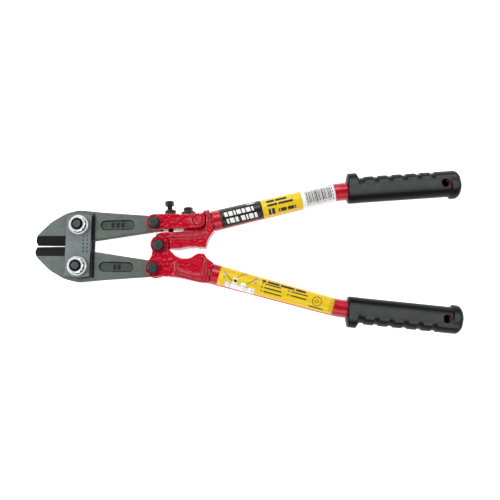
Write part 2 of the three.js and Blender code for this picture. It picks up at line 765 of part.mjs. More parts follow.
const levers = new THREE.Group();
levers.rotation.z = degrees(-handleSway);
levers.add(
  piece('upper_lever', upperLever(), redEnamel),
  piece('lower_lever', lowerLever(), redEnamel),
  piece('adjusting_link', adjustingLink(), redEnamel),
  piece('link_pivot_pin', linkPin(), redEnamel, boss),
  piece('adjusting_screw', adjustingScrew(), blackSteel),
  piece('adjusting_lock_nut', adjustingLockNut(), blackSteel),
  piece('clamp_bolt', clampBolt(), blackSteel),
  piece('main_pivot_bolt', hexBolt(mainBoltRadius, -5), hexSteel),
  piece('main_pivot_nut', hexNut(mainBoltRadius, 10), hexSteel),
  piece('upper_tail_bolt', hexBolt(tailBoltRadius, -5), hexSteel, tail),
  piece('upper_tail_nut', hexNut(tailBoltRadius, 20), hexSteel, tail),
  piece('lower_tail_bolt', hexBolt(tailBoltRadius, 9), hexSteel, { x: tail.x, y: -tail.y }),
  piece('lower_tail_nut', hexNut(tailBoltRadius, 0), hexSteel, { x: tail.x, y: -tail.y }),
);
for (const [name, side] of [['upper', 1], ['lower', -1]]) {
  levers.add(
    piece(name + '_handle_tube', handleTube(side), redEnamel),
    piece(name + '_grip', grip(side), blackRubber),
  );
}
middlePlane.add(levers);

export default boltCutters;
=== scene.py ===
# %% [markdown]
# # Bolt cutters, finished in Blender
# The metal and rubber parts of the tool arrive as plain engineering solids in one shared frame,
# in metres. This notebook gives each of them the surface that the real part has. A part whose
# solid is already right keeps it and gets a material. A part that needs softer edges, threads
# or moulded detail gets a new skin, worked out with numpy, that stands for the plain solid.

# %% Load the frame
import json
import math

import bmesh
import bpy
import numpy as np
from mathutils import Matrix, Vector


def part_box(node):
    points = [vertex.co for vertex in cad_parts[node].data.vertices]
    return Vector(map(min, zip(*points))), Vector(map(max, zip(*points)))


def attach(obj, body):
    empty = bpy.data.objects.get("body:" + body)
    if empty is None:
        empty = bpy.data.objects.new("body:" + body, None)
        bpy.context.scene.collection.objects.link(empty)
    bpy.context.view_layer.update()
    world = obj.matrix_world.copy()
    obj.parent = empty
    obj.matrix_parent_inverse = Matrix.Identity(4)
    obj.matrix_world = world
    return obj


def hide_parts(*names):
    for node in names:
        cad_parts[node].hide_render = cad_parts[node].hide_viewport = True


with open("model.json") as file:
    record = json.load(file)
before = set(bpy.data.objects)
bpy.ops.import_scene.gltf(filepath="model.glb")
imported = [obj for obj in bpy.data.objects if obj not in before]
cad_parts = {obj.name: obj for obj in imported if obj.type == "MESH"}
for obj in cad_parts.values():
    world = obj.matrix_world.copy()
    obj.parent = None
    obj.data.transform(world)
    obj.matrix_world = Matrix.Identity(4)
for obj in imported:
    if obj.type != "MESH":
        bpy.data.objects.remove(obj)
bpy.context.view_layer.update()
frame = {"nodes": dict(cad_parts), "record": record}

# %% [markdown]
# ## Where things are
# Nearly every place comes from the frame: a pin's box gives its axis, and the joints give the
# pivots. The handles lie a little over to one side, so the lever pieces are drawn in a straight
# frame, in which the two handles mirror each other, and turned by that small angle at the end.

# %% Places
MM = 0.001


def centre_of(node):
    """Middle of a node's box, as an array."""
    low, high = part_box(node)
    return (np.array(low) + np.array(high)) / 2


boss_place = centre_of("link_pivot_pin")
middle = boss_place[2]
upper_tail = centre_of("upper_tail_nut")
lower_tail = centre_of("lower_tail_nut")
tail_line = upper_tail - lower_tail
sway = math.atan2(tail_line[0], tail_line[1])
print("middle plane", round(middle / MM, 2), "mm up")
print("handles turned by", round(math.degrees(sway), 2), "deg")


def levers_to_frame(points):
    """Turns (..., 3) points from the straight lever frame by the sway: x' = x cos + y sin, and
    y' = y cos - x sin, and lifts them to the middle plane."""
    turned = np.array(points, dtype=float)
    x, y = turned[..., 0].copy(), turned[..., 1].copy()
    turned[..., 0] = x * math.cos(sway) + y * math.sin(sway)
    turned[..., 1] = y * math.cos(sway) - x * math.sin(sway)
    turned[..., 2] += middle
    return turned


# %% [markdown]
# ## Helpers for surfaces and materials
# A new piece is a grid of points: two parameters run over it, and each point's place is a
# formula in them. A closed direction joins its last row to its first. Rows that shrink to one
# point, such as the middle of a bolt head, are welded so that the skin is closed.

# %% Surface helpers
WELD = 0.001 * MM  # points closer than this become one


def grid_faces(rows, columns, wrap_rows, wrap_columns, first=0):
    """Quads between neighbouring points of a grid, as an (n, 4) index array."""
    row = np.arange(rows if wrap_rows else rows - 1)
    column = np.arange(columns if wrap_columns else columns - 1)
    r, c = (side.ravel() for side in np.meshgrid(row, column, indexing="ij"))
    r_next, c_next = (r + 1) % rows, (c + 1) % columns
    near, far = r * columns, r_next * columns
    return first + np.stack((near + c, near + c_next, far + c_next, far + c), axis=1)


def make_piece(name, points, faces, material, smooth_angle=35.0, weld=WELD):
    """A mesh object from point and face arrays, welded, closed and facing outwards."""
    mesh = bpy.data.meshes.new(name)
    mesh.from_pydata(np.asarray(points).reshape(-1, 3).tolist(), [], np.asarray(faces).tolist())
    work = bmesh.new()
    work.from_mesh(mesh)
    bmesh.ops.remove_doubles(work, verts=work.verts, dist=weld)
    bmesh.ops.recalc_face_normals(work, faces=work.faces)
    work.to_mesh(mesh)
    work.free()
    mesh.polygons.foreach_set("use_smooth", np.ones(len(mesh.polygons), dtype=bool))
    mesh.set_sharp_from_angle(angle=math.radians(smooth_angle))
    piece = bpy.data.objects.new(name, mesh)
    bpy.context.scene.collection.objects.link(piece)
    mesh.materials.append(material)
    return piece


def grid_piece(name, points, material, wrap_rows=False, wrap_columns=True, **how):
    """A piece from one (rows, columns, 3) array of points."""
    rows, columns = points.shape[:2]
    faces = grid_faces(rows, columns, wrap_rows, wrap_columns)
    return make_piece(name, points, faces, material, **how)


def second_finish(piece, material, chosen):
    """Adds a material for the faces whose middle passes the test `chosen`, a function of an
    (n, 3) array of middles. The other faces keep what they have."""
    faces = piece.data.polygons
    middles, finish = np.empty(len(faces) * 3), np.empty(len(faces), dtype=np.int32)
    faces.foreach_get("center", middles)
    faces.foreach_get("material_index", finish)
    piece.data.materials.append(material)
    finish[chosen(middles.reshape(-1, 3))] = len(piece.data.materials) - 1
    faces.foreach_set("material_index", finish)


# %% [markdown]
# A material is a small network of nodes. Colours are easiest to choose as screen values, which
# are curved, while light adds up in straight ones, so one function turns each colour over.

# %% Material helpers
def linear(hex_colour):
    """sRGB hex to linear light: c / 12.92 below 0.04045, else ((c + 0.055) / 1.055) ** 2.4."""
    shares = [int(hex_colour[i:i + 2], 16) / 255 for i in (1, 3, 5)]
    return (*(c / 12.92 if c <= 0.04045 else ((c + 0.055) / 1.055) ** 2.4 for c in shares), 1.0)


def add_node(tree, kind, settings=(), inputs=(), **links):
    """A node with its settings and input values. A link is input=output socket: spaces in an
    input's name are written as underscores, and i0, i1 and so on mean an input by its number."""
    node = tree.nodes.new(kind)
    for key, value in dict(settings).items():
        setattr(node, key, value)
    for key, value in dict(inputs).items():
        node.inputs[key].default_value = value
    for key, output in links.items():
        by_number = key[0] == "i" and key[1:].isdigit()
        tree.links.new(output, node.inputs[int(key[1:]) if by_number else key.replace("_", " ")])
    return node


def new_material(name, **surface):
    """A material with one Principled shader, whose constant values are set on its sockets."""
    material = bpy.data.materials.new(name)
    material.use_nodes = True
    tree = material.node_tree
    shader = tree.nodes["Principled BSDF"]
    for key, value in surface.items():
        shader.inputs[key.replace("_", " ")].default_value = value
    return material, tree, shader


# %% [markdown]
# No real surface has one even tone. A drawn texture could show that, but it has to be unwrapped
# on to each piece. Noise of a stated size in millimetres needs none of that. As a tone it
# mottles a colour, and as a height it gives a skin its grain. A third pattern paints shade on
# the walls: the colour darkens on faces that stand upright.

# %% Uneven patterns
def unevenness(tree, size_mm, detail=3.0, roughness=0.55, stretch=(1, 1, 1)):
    """A value from 0 to 1 that wanders over the piece, with features about size_mm across."""
    place = add_node(tree, "ShaderNodeTexCoord")
    scale = [share / (size_mm * MM) for share in stretch]
    mapping = add_node(tree, "ShaderNodeMapping", inputs={"Scale": scale},
                       Vector=place.outputs["Object"])
    noise = add_node(tree, "ShaderNodeTexNoise",
                     inputs={"Scale": 1.0, "Detail": detail, "Roughness": roughness},
                     Vector=mapping.outputs["Vector"])
    return noise.outputs["Fac"]


def mottle(tree, stops, **pattern):
    """A tone that wanders between (position, hex colour) stops."""
    tones = add_node(tree, "ShaderNodeValToRGB", Fac=unevenness(tree, **pattern))
    elements = tones.color_ramp.elements
    while len(elements) < len(stops):
        elements.new(0.5)
    for element, (position, colour) in zip(elements, stops):
        element.position = position
        element.color = linear(colour)
    return tones.outputs["Color"]


def grain(tree, shader, height_mm, strength, under=None, **pattern):
    """Lets the shader see the skin raised by up to height_mm, on top of a grain `under` it."""
    links = {"Height": unevenness(tree, **pattern)}
    if under is not None:
        links["Normal"] = under
    raised = add_node(tree, "ShaderNodeBump",
                      inputs={"Strength": strength, "Distance": height_mm * MM}, **links)
    tree.links.new(raised.outputs["Normal"], shader.inputs["Normal"])
    return raised.outputs["Normal"]


def painted_wall_shade(tree, colour, dark, low, high):
    """Painted shade: the colour on faces that look up or down and `dark` on walls, a smooth step
    from `dark` to the colour as the upright part of the piece's own normal, 0 to 1, goes from low
    to high."""
    place = add_node(tree, "ShaderNodeTexCoord")
    split = add_node(tree, "ShaderNodeSeparateXYZ", Vector=place.outputs["Normal"])
    upright = add_node(tree, "ShaderNodeMath", {"operation": "ABSOLUTE"}, i0=split.outputs["Z"])
    share = add_node(tree, "ShaderNodeMapRange", {"interpolation_type": "SMOOTHSTEP"},
                     {"From Min": low, "From Max": high}, Value=upright.outputs[0])
    mix = add_node(tree, "ShaderNodeMix", {"data_type": "RGBA"}, {6: linear(dark)}, i7=colour,
                   Factor=share.outputs[0])
    return mix.outputs[2]


# %% [markdown]
# ## Finishes
# The levers and link are drop-forged steel under thick red enamel. Forging leaves a skin of
# shallow dents and flow marks a millimetre or two across, and enamel over it stays glossy, so
# the red breaks into many small highlights. The same enamel on the drawn tubes is nearly flat.

# %% Red enamel
def red_enamel(name, roughness, dent_mm, dent_height, skin_height,
               reds=("#AC001E", "#B80024", "#C20628")):
    """Enamel: a dark-to-light red by slow noise, with dents of dent_mm that are a little longer
    along the tool, and a fine orange peel."""
    material, tree, shader = new_material(name, Roughness=roughness, IOR=1.5)
    tone = mottle(tree, list(zip((0.3, 0.55, 0.8), reds)), size_mm=5.0, detail=2.0)
    tree.links.new(tone, shader.inputs["Base Color"])
    dents = grain(tree, shader, dent_height, 1.0, size_mm=dent_mm, detail=2.5,
                  stretch=(0.8, 1.0, 1.0))
    grain(tree, shader, skin_height, 0.6, dents, size_mm=0.6, detail=2.0)
    return material


forged_red = red_enamel("red_enamel_on_forging", roughness=0.18, dent_mm=2.2, dent_height=0.75,
                        skin_height=0.02)
# Painted shade for the creases: the same enamel in darker reds.
crease_painted_shade_red = red_enamel("red_enamel_with_painted_shade_in_creases", roughness=0.3, dent_mm=2.2, dent_height=0.3,
                        skin_height=0.02, reds=("#740014", "#86001A", "#98061F"))
tube_red = red_enamel("red_enamel_on_tube", roughness=0.26, dent_mm=12.0, dent_height=0.3,
                      skin_height=0.012)
print("made", forged_red.name, crease_painted_shade_red.name, tube_red.name)

# %% [markdown]
# The jaws are tool steel with a phosphate skin: a fine crystal coat that is grey-green and
# dull, a little lighter where handling has rubbed it. The cutting bevels are ground and then
# blackened, so they read as a dark band whose grinding lines run square to the edge. The band
# could be a second material on its own faces, but the bevel is a few large faces of the
# forging's skin, so a test on the place, made in the material, gives it a cleaner edge.

# %% Jaw and strap steel
BEVEL_WIDTH = 8.4 * MM
bevel_end = centre_of("front_strap_plate")[0]


def blackened_bevel(tree, shader, colour, under):
    """Blackens points within the bevel's width of the closing line and ahead of the straps, and
    adds grinding lines 0.5 mm apart, drawn coarser than real ones so that they show."""
    place = add_node(tree, "ShaderNodeTexCoord")
    split = add_node(tree, "ShaderNodeSeparateXYZ", Vector=place.outputs["Object"])
    side = add_node(tree, "ShaderNodeMath", {"operation": "ABSOLUTE"}, i0=split.outputs["Y"])
    near = add_node(tree, "ShaderNodeMath", {"operation": "LESS_THAN"}, {1: BEVEL_WIDTH},
                    i0=side.outputs[0])
    ahead = add_node(tree, "ShaderNodeMath", {"operation": "LESS_THAN"}, {1: bevel_end},
                     i0=split.outputs["X"])
    band = add_node(tree, "ShaderNodeMath", {"operation": "MULTIPLY"}, i0=near.outputs[0],
                    i1=ahead.outputs[0])
    mix = add_node(tree, "ShaderNodeMix", {"data_type": "RGBA"}, {7: linear("#101112")},
                   i6=colour, Factor=band.outputs[0])
    grain(tree, shader, 0.03, 0.4, under, size_mm=0.5, detail=2.0, roughness=0.5,
          stretch=(1.0, 0.06, 0.06))
    return mix.outputs[2]


def phosphate_steel(name, dark, light, with_bevel=False):
    """Phosphated steel: grain of 0.7 mm over a slow cloud of tone, with painted shade on the
    walls.
    """
    material, tree, shader = new_material(name, Metallic=0.55, Roughness=0.5)
    tone = mottle(tree, [(0.3, dark), (0.7, light)], size_mm=6.0, detail=5.0, roughness=0.65)
    crystals = grain(tree, shader, 0.06, 0.5, size_mm=0.7)
    colour = painted_wall_shade(tree, tone, "#1C1E1E", low=0.62, high=0.97)
    if with_bevel:
        colour = blackened_bevel(tree, shader, colour, crystals)
    tree.links.new(colour, shader.inputs["Base Color"])
    return material


jaw_steel = phosphate_steel("phosphated_tool_steel", "#5A625E", "#69716D", with_bevel=True)
# A dark phosphate for the raised pocket marks, which is also painted shade on the pocket rims and
# painted shadow beside the strap.
dark_marks_and_painted_shade = phosphate_steel("dark_phosphate_marks_and_painted_shade", "#161919", "#262B29")
pocket_floor = phosphate_steel("phosphate_in_pockets", "#3E4542", "#505754")
strap_steel = phosphate_steel("phosphated_plate_steel", "#687070", "#798180")
print("made", jaw_steel.name, dark_marks_and_painted_shade.name, pocket_floor.name, strap_steel.name)


# %% [markdown]
# The fasteners differ in plating only, so one recipe serves them all. The lever bolts are dark
# grey alloy steel, the adjusting screws are black oxide with a hint of brown on the worn
# crowns, the jaw bolts' ends are plain grey, and the jaw nuts are bright zinc, which mirrors
# the studio almost fully except in the gaps of the star.

# %% Fastener steels
def fastener_steel(name, dark, light, metallic, roughness, grain_height, side=None):
    """Turned and plated steel: a cloud of tone 2 mm across and a fine grain, and painted shade, a
    darker tone on chamfers and walls, if one is given."""
    material, tree, shader = new_material(name, Metallic=metallic, Roughness=roughness)
    colour = mottle(tree, [(0.35, dark), (0.7, light)], size_mm=2.0, detail=4.0, roughness=0.6)
    if side is not None:
        colour = painted_wall_shade(tree, colour, side, low=0.87, high=0.985)
    tree.links.new(colour, shader.inputs["Base Color"])
    grain(tree, shader, grain_height, 0.5, size_mm=0.35)
    return material


# The last colour of the dark alloy steel and of the grey bolt ends is painted shade on their
# chamfers and walls.
hex_steel = fastener_steel("dark_alloy_steel", "#2A2E2D", "#434846", 0.4, 0.45, 0.09, "#070808")
black_oxide = fastener_steel("black_oxide_steel", "#161718", "#3A362F", 0.5, 0.4, 0.03)
zinc_plate = fastener_steel("bright_zinc_plate", "#E6E8E9", "#F6F7F7", 0.5, 0.25, 0.012)
# Painted shade: a near-black zinc for the star's gaps and the countersink of the jaw nuts.
zinc_shadow = fastener_steel("zinc_with_painted_shade_in_star_gaps", "#17191A", "#2A2C2D", 0.5, 0.4, 0.012)
bolt_end_steel = fastener_steel("grey_bolt_end", "#424746", "#5E6463", 0.5, 0.42, 0.03, "#1A1C1C")
# The bare bore's near-black tone is partly painted shade inside the tube.
bare_bore_with_painted_shade = fastener_steel("unpainted_tube_bore_with_painted_shade", "#1B1A1A", "#2B2826", 0.6, 0.6, 0.05)
print("made six plated and bare steels")


# %% [markdown]
# The grips are injection-moulded black rubber. The mould was spark-eroded, so the skin has a
# fine matt grain. Its colour is a painted sheen of dark grey along the crest and painted shade
# of black on the flanks.

# %% Rubber
def moulded_rubber():
    """Matt rubber: a painted sheen of dark grey along the crest and painted shade of black on the
    flanks, with eroded grain of 0.5 mm and a slow unevenness of 6 mm."""
    material, tree, shader = new_material("moulded_black_rubber", Roughness=0.42, IOR=1.52,
                                          Specular_IOR_Level=0.1)
    tone = mottle(tree, [(0.3, "#434545"), (0.75, "#4C4E4E")], size_mm=7.0, detail=2.0,
                  roughness=0.5)
    tree.links.new(painted_wall_shade(tree, tone, "#060606", low=0.80, high=1.0),
                   shader.inputs["Base Color"])
    eroded = grain(tree, shader, 0.05, 0.6, size_mm=0.5)
    grain(tree, shader, 0.15, 0.5, eroded, size_mm=6.0, detail=2.0)
    return material


rubber = moulded_rubber()
print("made", rubber.name)


# %% [markdown]
# The labels are printed vinyl film, glossy under a clear laminate. Each ink is its own
# material with a faint mottle, because print on film is never perfectly even.

# %% Label inks
def label_ink(name, colour, shade):
    """Ink under a clear laminate: two close tones mottled at 1.5 mm."""
    material, tree, shader = new_material(name, Roughness=0.35, IOR=1.46)
    tree.links.new(mottle(tree, [(0.3, shade), (0.7, colour)], size_mm=1.5),
                   shader.inputs["Base Color"])
    return material


ink_black = label_ink("label_black", "#1C1C1D", "#141415")
ink_yellow = label_ink("label_yellow", "#EAC60C", "#E0BB04")
ink_white = label_ink("label_white", "#F6F6F4", "#E9E9E8")
ink_grey = label_ink("label_grey", "#9DA3B0", "#8C92A2")
print("made four inks")

# %% [markdown]
# ## Camera, floor and light
# The tool is seen from above with a short lens, tipped a few degrees so that the near handle
# looks slightly longer.

# %% Camera
camera_data = bpy.data.cameras.new("camera")
camera_data.lens = 50.4
camera_data.sensor_width = 36.0
camera = bpy.data.objects.new("camera", camera_data)
camera.location = (0.0754, -0.0647, middle + 0.5827)
camera.rotation_euler = (math.radians(6.06), 0.0, 0.0)
bpy.context.scene.collection.objects.link(camera)
bpy.context.scene.camera = camera
print("camera hangs", round(camera.location.z / MM), "mm above the floor")

# %% [markdown]
# The floor is a pale table that glows faintly, as a lit table does, and so takes most of the
# shadow away. It lies a little under the tool's lowest points so that the two never touch.

# %% Floor
FLOOR_REACH = 14.0
FLOOR_LEVEL = -0.2 * MM
floor_material, floor_tree, floor_shader = new_material("pale_floor", Roughness=0.9)
floor_tone = mottle(floor_tree, [(0.3, "#F7F7F7"), (0.7, "#FBFBFB")], size_mm=60.0, detail=2.0)
floor_tree.links.new(floor_tone, floor_shader.inputs["Base Color"])
floor_shader.inputs["Emission Color"].default_value = linear("#FFFFFF")
floor_shader.inputs["Emission Strength"].default_value = 0.92
floor_points = np.array([[x, y, FLOOR_LEVEL] for x in (-FLOOR_REACH, FLOOR_REACH)
                         for y in (-FLOOR_REACH, FLOOR_REACH)])
floor = make_piece("floor", floor_points, np.array([[0, 2, 3, 1]]), floor_material)
print("floor is", 2 * FLOOR_REACH, "m across")

# %% [markdown]
# The light is a pale tent with four soft panels round a dark gap in which the camera hangs. A
# flat face that looks up reflects the gap and keeps its colour, and a surface that leans by 20
# degrees or so catches a panel and shines. One large panel overhead would be simpler, but it
# would lay a white haze over every flat face.

# %% Soft panels and tent
def soft_panel(name, place, aim, size, power):
    """A square area light at place, turned to face aim."""
    data = bpy.data.lights.new(name, "AREA")
    data.size = size
    data.energy = power
    lamp = bpy.data.objects.new(name, data)
    lamp.location = place
    lamp.rotation_euler = (Vector(aim) - Vector(place)).to_track_quat("-Z", "Y").to_euler()
    bpy.context.scene.collection.objects.link(lamp)


soft_panel("back_panel", (0.05, 0.72, 0.85), (0.05, 0, 0), size=0.45, power=4.2)
soft_panel("left_panel", (-0.70, 0.10, 0.80), (0.0, 0, 0), size=0.32, power=5.0)
soft_panel("front_panel", (0.10, -0.75, 0.80), (0.05, 0, 0), size=0.6, power=2.0)
soft_panel("right_panel", (0.90, 0.05, 0.80), (0.1, 0, 0), size=0.6, power=1.2)
world = bpy.data.worlds.new("grey_tent")
world.use_nodes = True
tent = world.node_tree.nodes["Background"]
tent.inputs["Color"].default_value = linear("#FFFFFF")
direction = add_node(world.node_tree, "ShaderNodeTexCoord")
upward = add_node(world.node_tree, "ShaderNodeSeparateXYZ", Vector=direction.outputs["Generated"])
gap = add_node(world.node_tree, "ShaderNodeMapRange", {"interpolation_type": "SMOOTHSTEP"},
               {"From Min": 0.72, "From Max": 0.90, "To Min": 0.62, "To Max": 0.03},
               Value=upward.outputs["Z"])
world.node_tree.links.new(gap.outputs[0], tent.inputs["Strength"])
bpy.context.scene.world = world
bpy.context.scene.view_settings.view_transform = "Standard"
print("tent and four panels are lit")


# %% [markdown]
# ## Forgings
# A drop forging has no sharp corner: the die's edges are rounded, and every step flows into
# the next. The plain solids have the right shape with sharp steps, so each is copied, rebuilt
# from small cells and relaxed, which rounds every edge by about the size of a die radius.

# %% Forged copies
def forged(node, body, material, cell_mm, passes):
    """A copy of a node rebuilt from cells of cell_mm and smoothed: each pass moves a point half
    way to the mean of its neighbours."""
    source = frame["nodes"][node]
    mesh = source.data.copy()
    work = bmesh.new()
    work.from_mesh(mesh)
    bmesh.ops.remove_doubles(work, verts=work.verts, dist=WELD)
    work.to_mesh(mesh)
    work.free()
    copy = bpy.data.objects.new(node + "_skin", mesh)
    bpy.context.scene.collection.objects.link(copy)
    remesh = copy.modifiers.new("cells", "REMESH")
    remesh.mode = "VOXEL"
    remesh.voxel_size = cell_mm * MM
    remesh.use_smooth_shade = True
    relax = copy.modifiers.new("relax", "SMOOTH")
    relax.factor = 0.5
    relax.iterations = passes
    graph = bpy.context.evaluated_depsgraph_get()
    graph.update()
    finished = bpy.data.meshes.new_from_object(copy.evaluated_get(graph))
    copy.modifiers.clear()
    copy.data = finished
    bpy.data.meshes.remove(mesh)
    finished.name = node + "_skin"
    finished.materials.clear()
    finished.materials.append(material)
    finished.polygons.foreach_set("use_smooth", np.ones(len(finished.polygons), dtype=bool))
    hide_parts(node)
    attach(copy, body)
    print(copy.name, len(finished.polygons), "faces")
    return copy


SIDE_DEPTH = 6.0 * MM  # the forks' and webs' inner faces lie nearer the middle plane


def lever_plan(points):
    """Plan coordinates in the straight lever frame, which undoes levers_to_frame."""
    x, y = points[:, 0], points[:, 1]
    return x * math.cos(sway) - y * math.sin(sway), x * math.sin(sway) + y * math.cos(sway)


def path_distance(x, y, path):
    """Distance from each point to the nearest of the straight stretches of a path."""
    best = np.full(x.shape, np.inf)
    for (ax, ay), (bx, by) in zip(path[:-1], path[1:]):
        length2 = (bx - ax) ** 2 + (by - ay) ** 2
        share = np.clip(((x - ax) * (bx - ax) + (y - ay) * (by - ay)) / length2, 0, 1)
        best = np.minimum(best, np.hypot(x - ax - share * (bx - ax), y - ay - share * (by - ay)))
    return best


def ridge(distance, at_mm, width_mm, height_mm):
    """A rounded ridge: height times exp(-((distance - at) / width)^2), all in millimetres."""
    return height_mm * MM * np.exp(-((distance / MM - at_mm) / width_mm) ** 2)


def add_relief(piece, height_at):
    """Moves the points of both flat sides out by height_at(x, y), in the straight lever frame.
    The move fades out where the skin turns over the edge, from an upright part of 0.9 down to
    0.6 of its normal."""
    mesh = piece.data
    count = len(mesh.vertices)
    points, normals = np.empty(count * 3), np.empty(count * 3)
    mesh.vertices.foreach_get("co", points)
    mesh.vertex_normals.foreach_get("vector", normals)
    points, normals = points.reshape(-1, 3), normals.reshape(-1, 3)
    x, y = lever_plan(points)
    facing = np.clip((np.abs(normals[:, 2]) - 0.6) / 0.3, 0, 1) * np.sign(normals[:, 2])
    outer = np.abs(points[:, 2] - middle) > SIDE_DEPTH
    points[:, 2] += height_at(x, y) * facing * outer
    mesh.vertices.foreach_set("co", points.ravel())
    mesh.update()


upper_lever = forged("upper_lever", "upper_handle", forged_red, 0.4, 4)
lower_lever = forged("lower_lever", "lower_handle", forged_red, 0.4, 4)
link = forged("adjusting_link", "link", forged_red, 0.36, 3)
upper_jaw = forged("upper_jaw", "upper_jaw_body", jaw_steel, 0.34, 1)
lower_jaw = forged("lower_jaw", "lower_jaw_body", jaw_steel, 0.34, 1)

# %% [markdown]
# The dies also leave lines: two rings round the link's boss, two creases on the upper lever that
# run round the link's end and along its underside, and two L-shaped creases round the lower
# lever's sunk panel. Each crease is a groove with a low lip beside it, a few tenths of a
# millimetre deep, and the enamel in it is painted darker, as painted shade. Bump in the material
# could hint at them, but then they would be missing from the mesh, so the points themselves are
# moved.

# %% Die relief
CREASE_WIDTH = 0.42 * MM
boss_x, boss_y = (float(v[0]) for v in lever_plan(boss_place[None, :]))
upper_creases = [[(40.6, 26.8), (41.2, 21.5), (39.4, 15.6), (34.6, 12.2), (24.0, 11.0),
                  (12.0, 10.4)],
                 [(39.5, 10.4), (32.0, 8.0), (24.1, 7.2), (14.2, 6.7), (10.0, 6.9)]]
lower_creases = [[(15.2, -14.6), (15.4, -19.8), (17.2, -22.0), (24.9, -24.3), (35.0, -26.6),
                  (37.4, -25.2), (39.8, -12.5)],
                 [(14.0, -22.9), (24.9, -26.8), (37.6, -29.8), (40.0, -28.0), (42.0, -21.1)]]


def crease_distance(x, y, creases):
    """Distance in metres from plan points to the nearest of several paths in millimetres."""
    return np.min([path_distance(x, y, np.array(path) * MM) for path in creases], axis=0)


def link_relief(x, y):
    """Two low rings round the boss, the outer one on the side towards the jaws only."""
    away = np.hypot(x - boss_x, y - boss_y)
    inner = ridge(away, at_mm=5.0, width_mm=0.45, height_mm=0.45)
    return inner + ridge(away, at_mm=6.6, width_mm=0.5, height_mm=0.5) * (x < boss_x)


def crease_relief(creases):
    """The height of a set of creases: a groove 0.5 mm deep with a 0.4 mm lip 1.1 mm away."""
    def height(x, y):
        """The lip less the groove."""
        away = crease_distance(x, y, creases)
        lip = ridge(away, at_mm=1.1, width_mm=0.5, height_mm=0.4)
        return lip - ridge(away, at_mm=0.0, width_mm=0.5, height_mm=0.5)
    return height


def in_crease(creases):
    """A test for the faces that lie in a set of creases."""
    def chosen(middles):
        return crease_distance(*lever_plan(middles), creases) < CREASE_WIDTH
    return chosen


add_relief(link, link_relief)
for lever, creases in ((upper_lever, upper_creases), (lower_lever, lower_creases)):
    add_relief(lever, crease_relief(creases))
    second_finish(lever, crease_painted_shade_red, in_crease(creases))
print("relief drawn on", link.name, upper_lever.name, lower_lever.name)


# %% [markdown]
# ## Bolt heads and nuts
# A hexagon head is turned from bar, so its top is a flat disc and a 30 degree chamfer cuts the
# six corners into arcs. That shape is one formula: the wall's distance from the axis depends
# on the angle, and the top drops along a cone outside the disc. A ring of points carried from
# the middle of the top, out over the chamfer, down the wall and back in makes the whole bolt.
# Cutting a prism with a cone would give the same shape with far worse faces.

# %% Head shapes
TURN = np.linspace(0.0, 2 * np.pi, 96, endpoint=False)
CHAMFER_SLOPE = math.tan(math.radians(30))


def polygon_reach(sides, across, turn_deg, corner_share=0.985):
    """Distance from the axis to a regular polygon's wall for each angle: half the width across
    the flats over the cosine of the angle from the nearest flat, cut by a round of
    corner_share of the corner radius."""
    step = 2 * np.pi / sides
    from_flat = (TURN - math.radians(turn_deg)) % step - step / 2
    reach = across / 2 / np.cos(from_flat)
    return np.minimum(reach, corner_share * across / 2 / math.cos(step / 2))


def ring_stack(rings, place, tilt=None):
    """Points of a stack of rings, each (radius for every angle or one radius, height), about an
    axis through place along +Z, or along the unit vector tilt, which lies in plan."""
    radius = np.array([np.broadcast_to(r, TURN.shape) for r, _ in rings])
    height = np.array([np.broadcast_to(h, TURN.shape) for _, h in rings])
    x, y = radius * np.cos(TURN), radius * np.sin(TURN)
    if tilt is None:
        local = np.stack([x, y, height], axis=-1)
    else:
        along = np.array(tilt)
        across = np.array([along[1], -along[0], 0.0])
        up = np.array([0.0, 0.0, 1.0])
        local = x[..., None] * across + y[..., None] * up + height[..., None] * along
    return local + np.array(place)


def head_rings(reach, low, high, disc_share=0.92):
    """Rings from the middle of the top, out over the chamfer cone, and down to the seat, with a
    small bevel where the wall begins and ends. The flat disc on top has disc_share of the
    shortest reach as its radius."""
    disc = disc_share * reach.min()
    outside = reach - disc
    bevel = 0.12 * MM
    edge = high - outside * CHAMFER_SLOPE
    rings = [(0.0, high)] + [(disc * s, high) for s in (0.35, 0.7, 1.0)]
    rings += [(disc + outside * s, high - outside * CHAMFER_SLOPE * s) for s in (0.5, 0.95)]
    rings += [(reach, edge - bevel), (reach, (edge + low) / 2), (reach, low + bevel)]
    return rings + [(reach - 0.15 * MM, np.full_like(reach, low))]


def thread_rings(radius, low, high, pitch, depth):
    """Rings down a thread from high to low, seven to a pitch: the radius dips by a triangle wave
    of the pitch that climbs one pitch for each turn, and fades out at both ends."""
    heights = np.arange(high, low, -pitch / 7)
    phase = (heights[:, None] / pitch - TURN[None, :] / (2 * np.pi)) % 1.0
    fade = np.clip(np.minimum(high - heights, heights - low) / pitch, 0, 1)[:, None]
    return list(zip(radius - depth * fade * (1 - np.abs(2 * phase - 1)), heights))


# %% [markdown]
# The three lever bolts have their heads on top and end flush with thin nuts underneath. The
# box of each plain bolt gives its height, its seat and its axis.

# %% Lever bolts
HEX_ACROSS = 9.4 * MM
HEX_HEIGHT = 4.2 * MM
LEVER_PITCH = 0.8 * MM
END_CHAMFER = 0.3 * MM


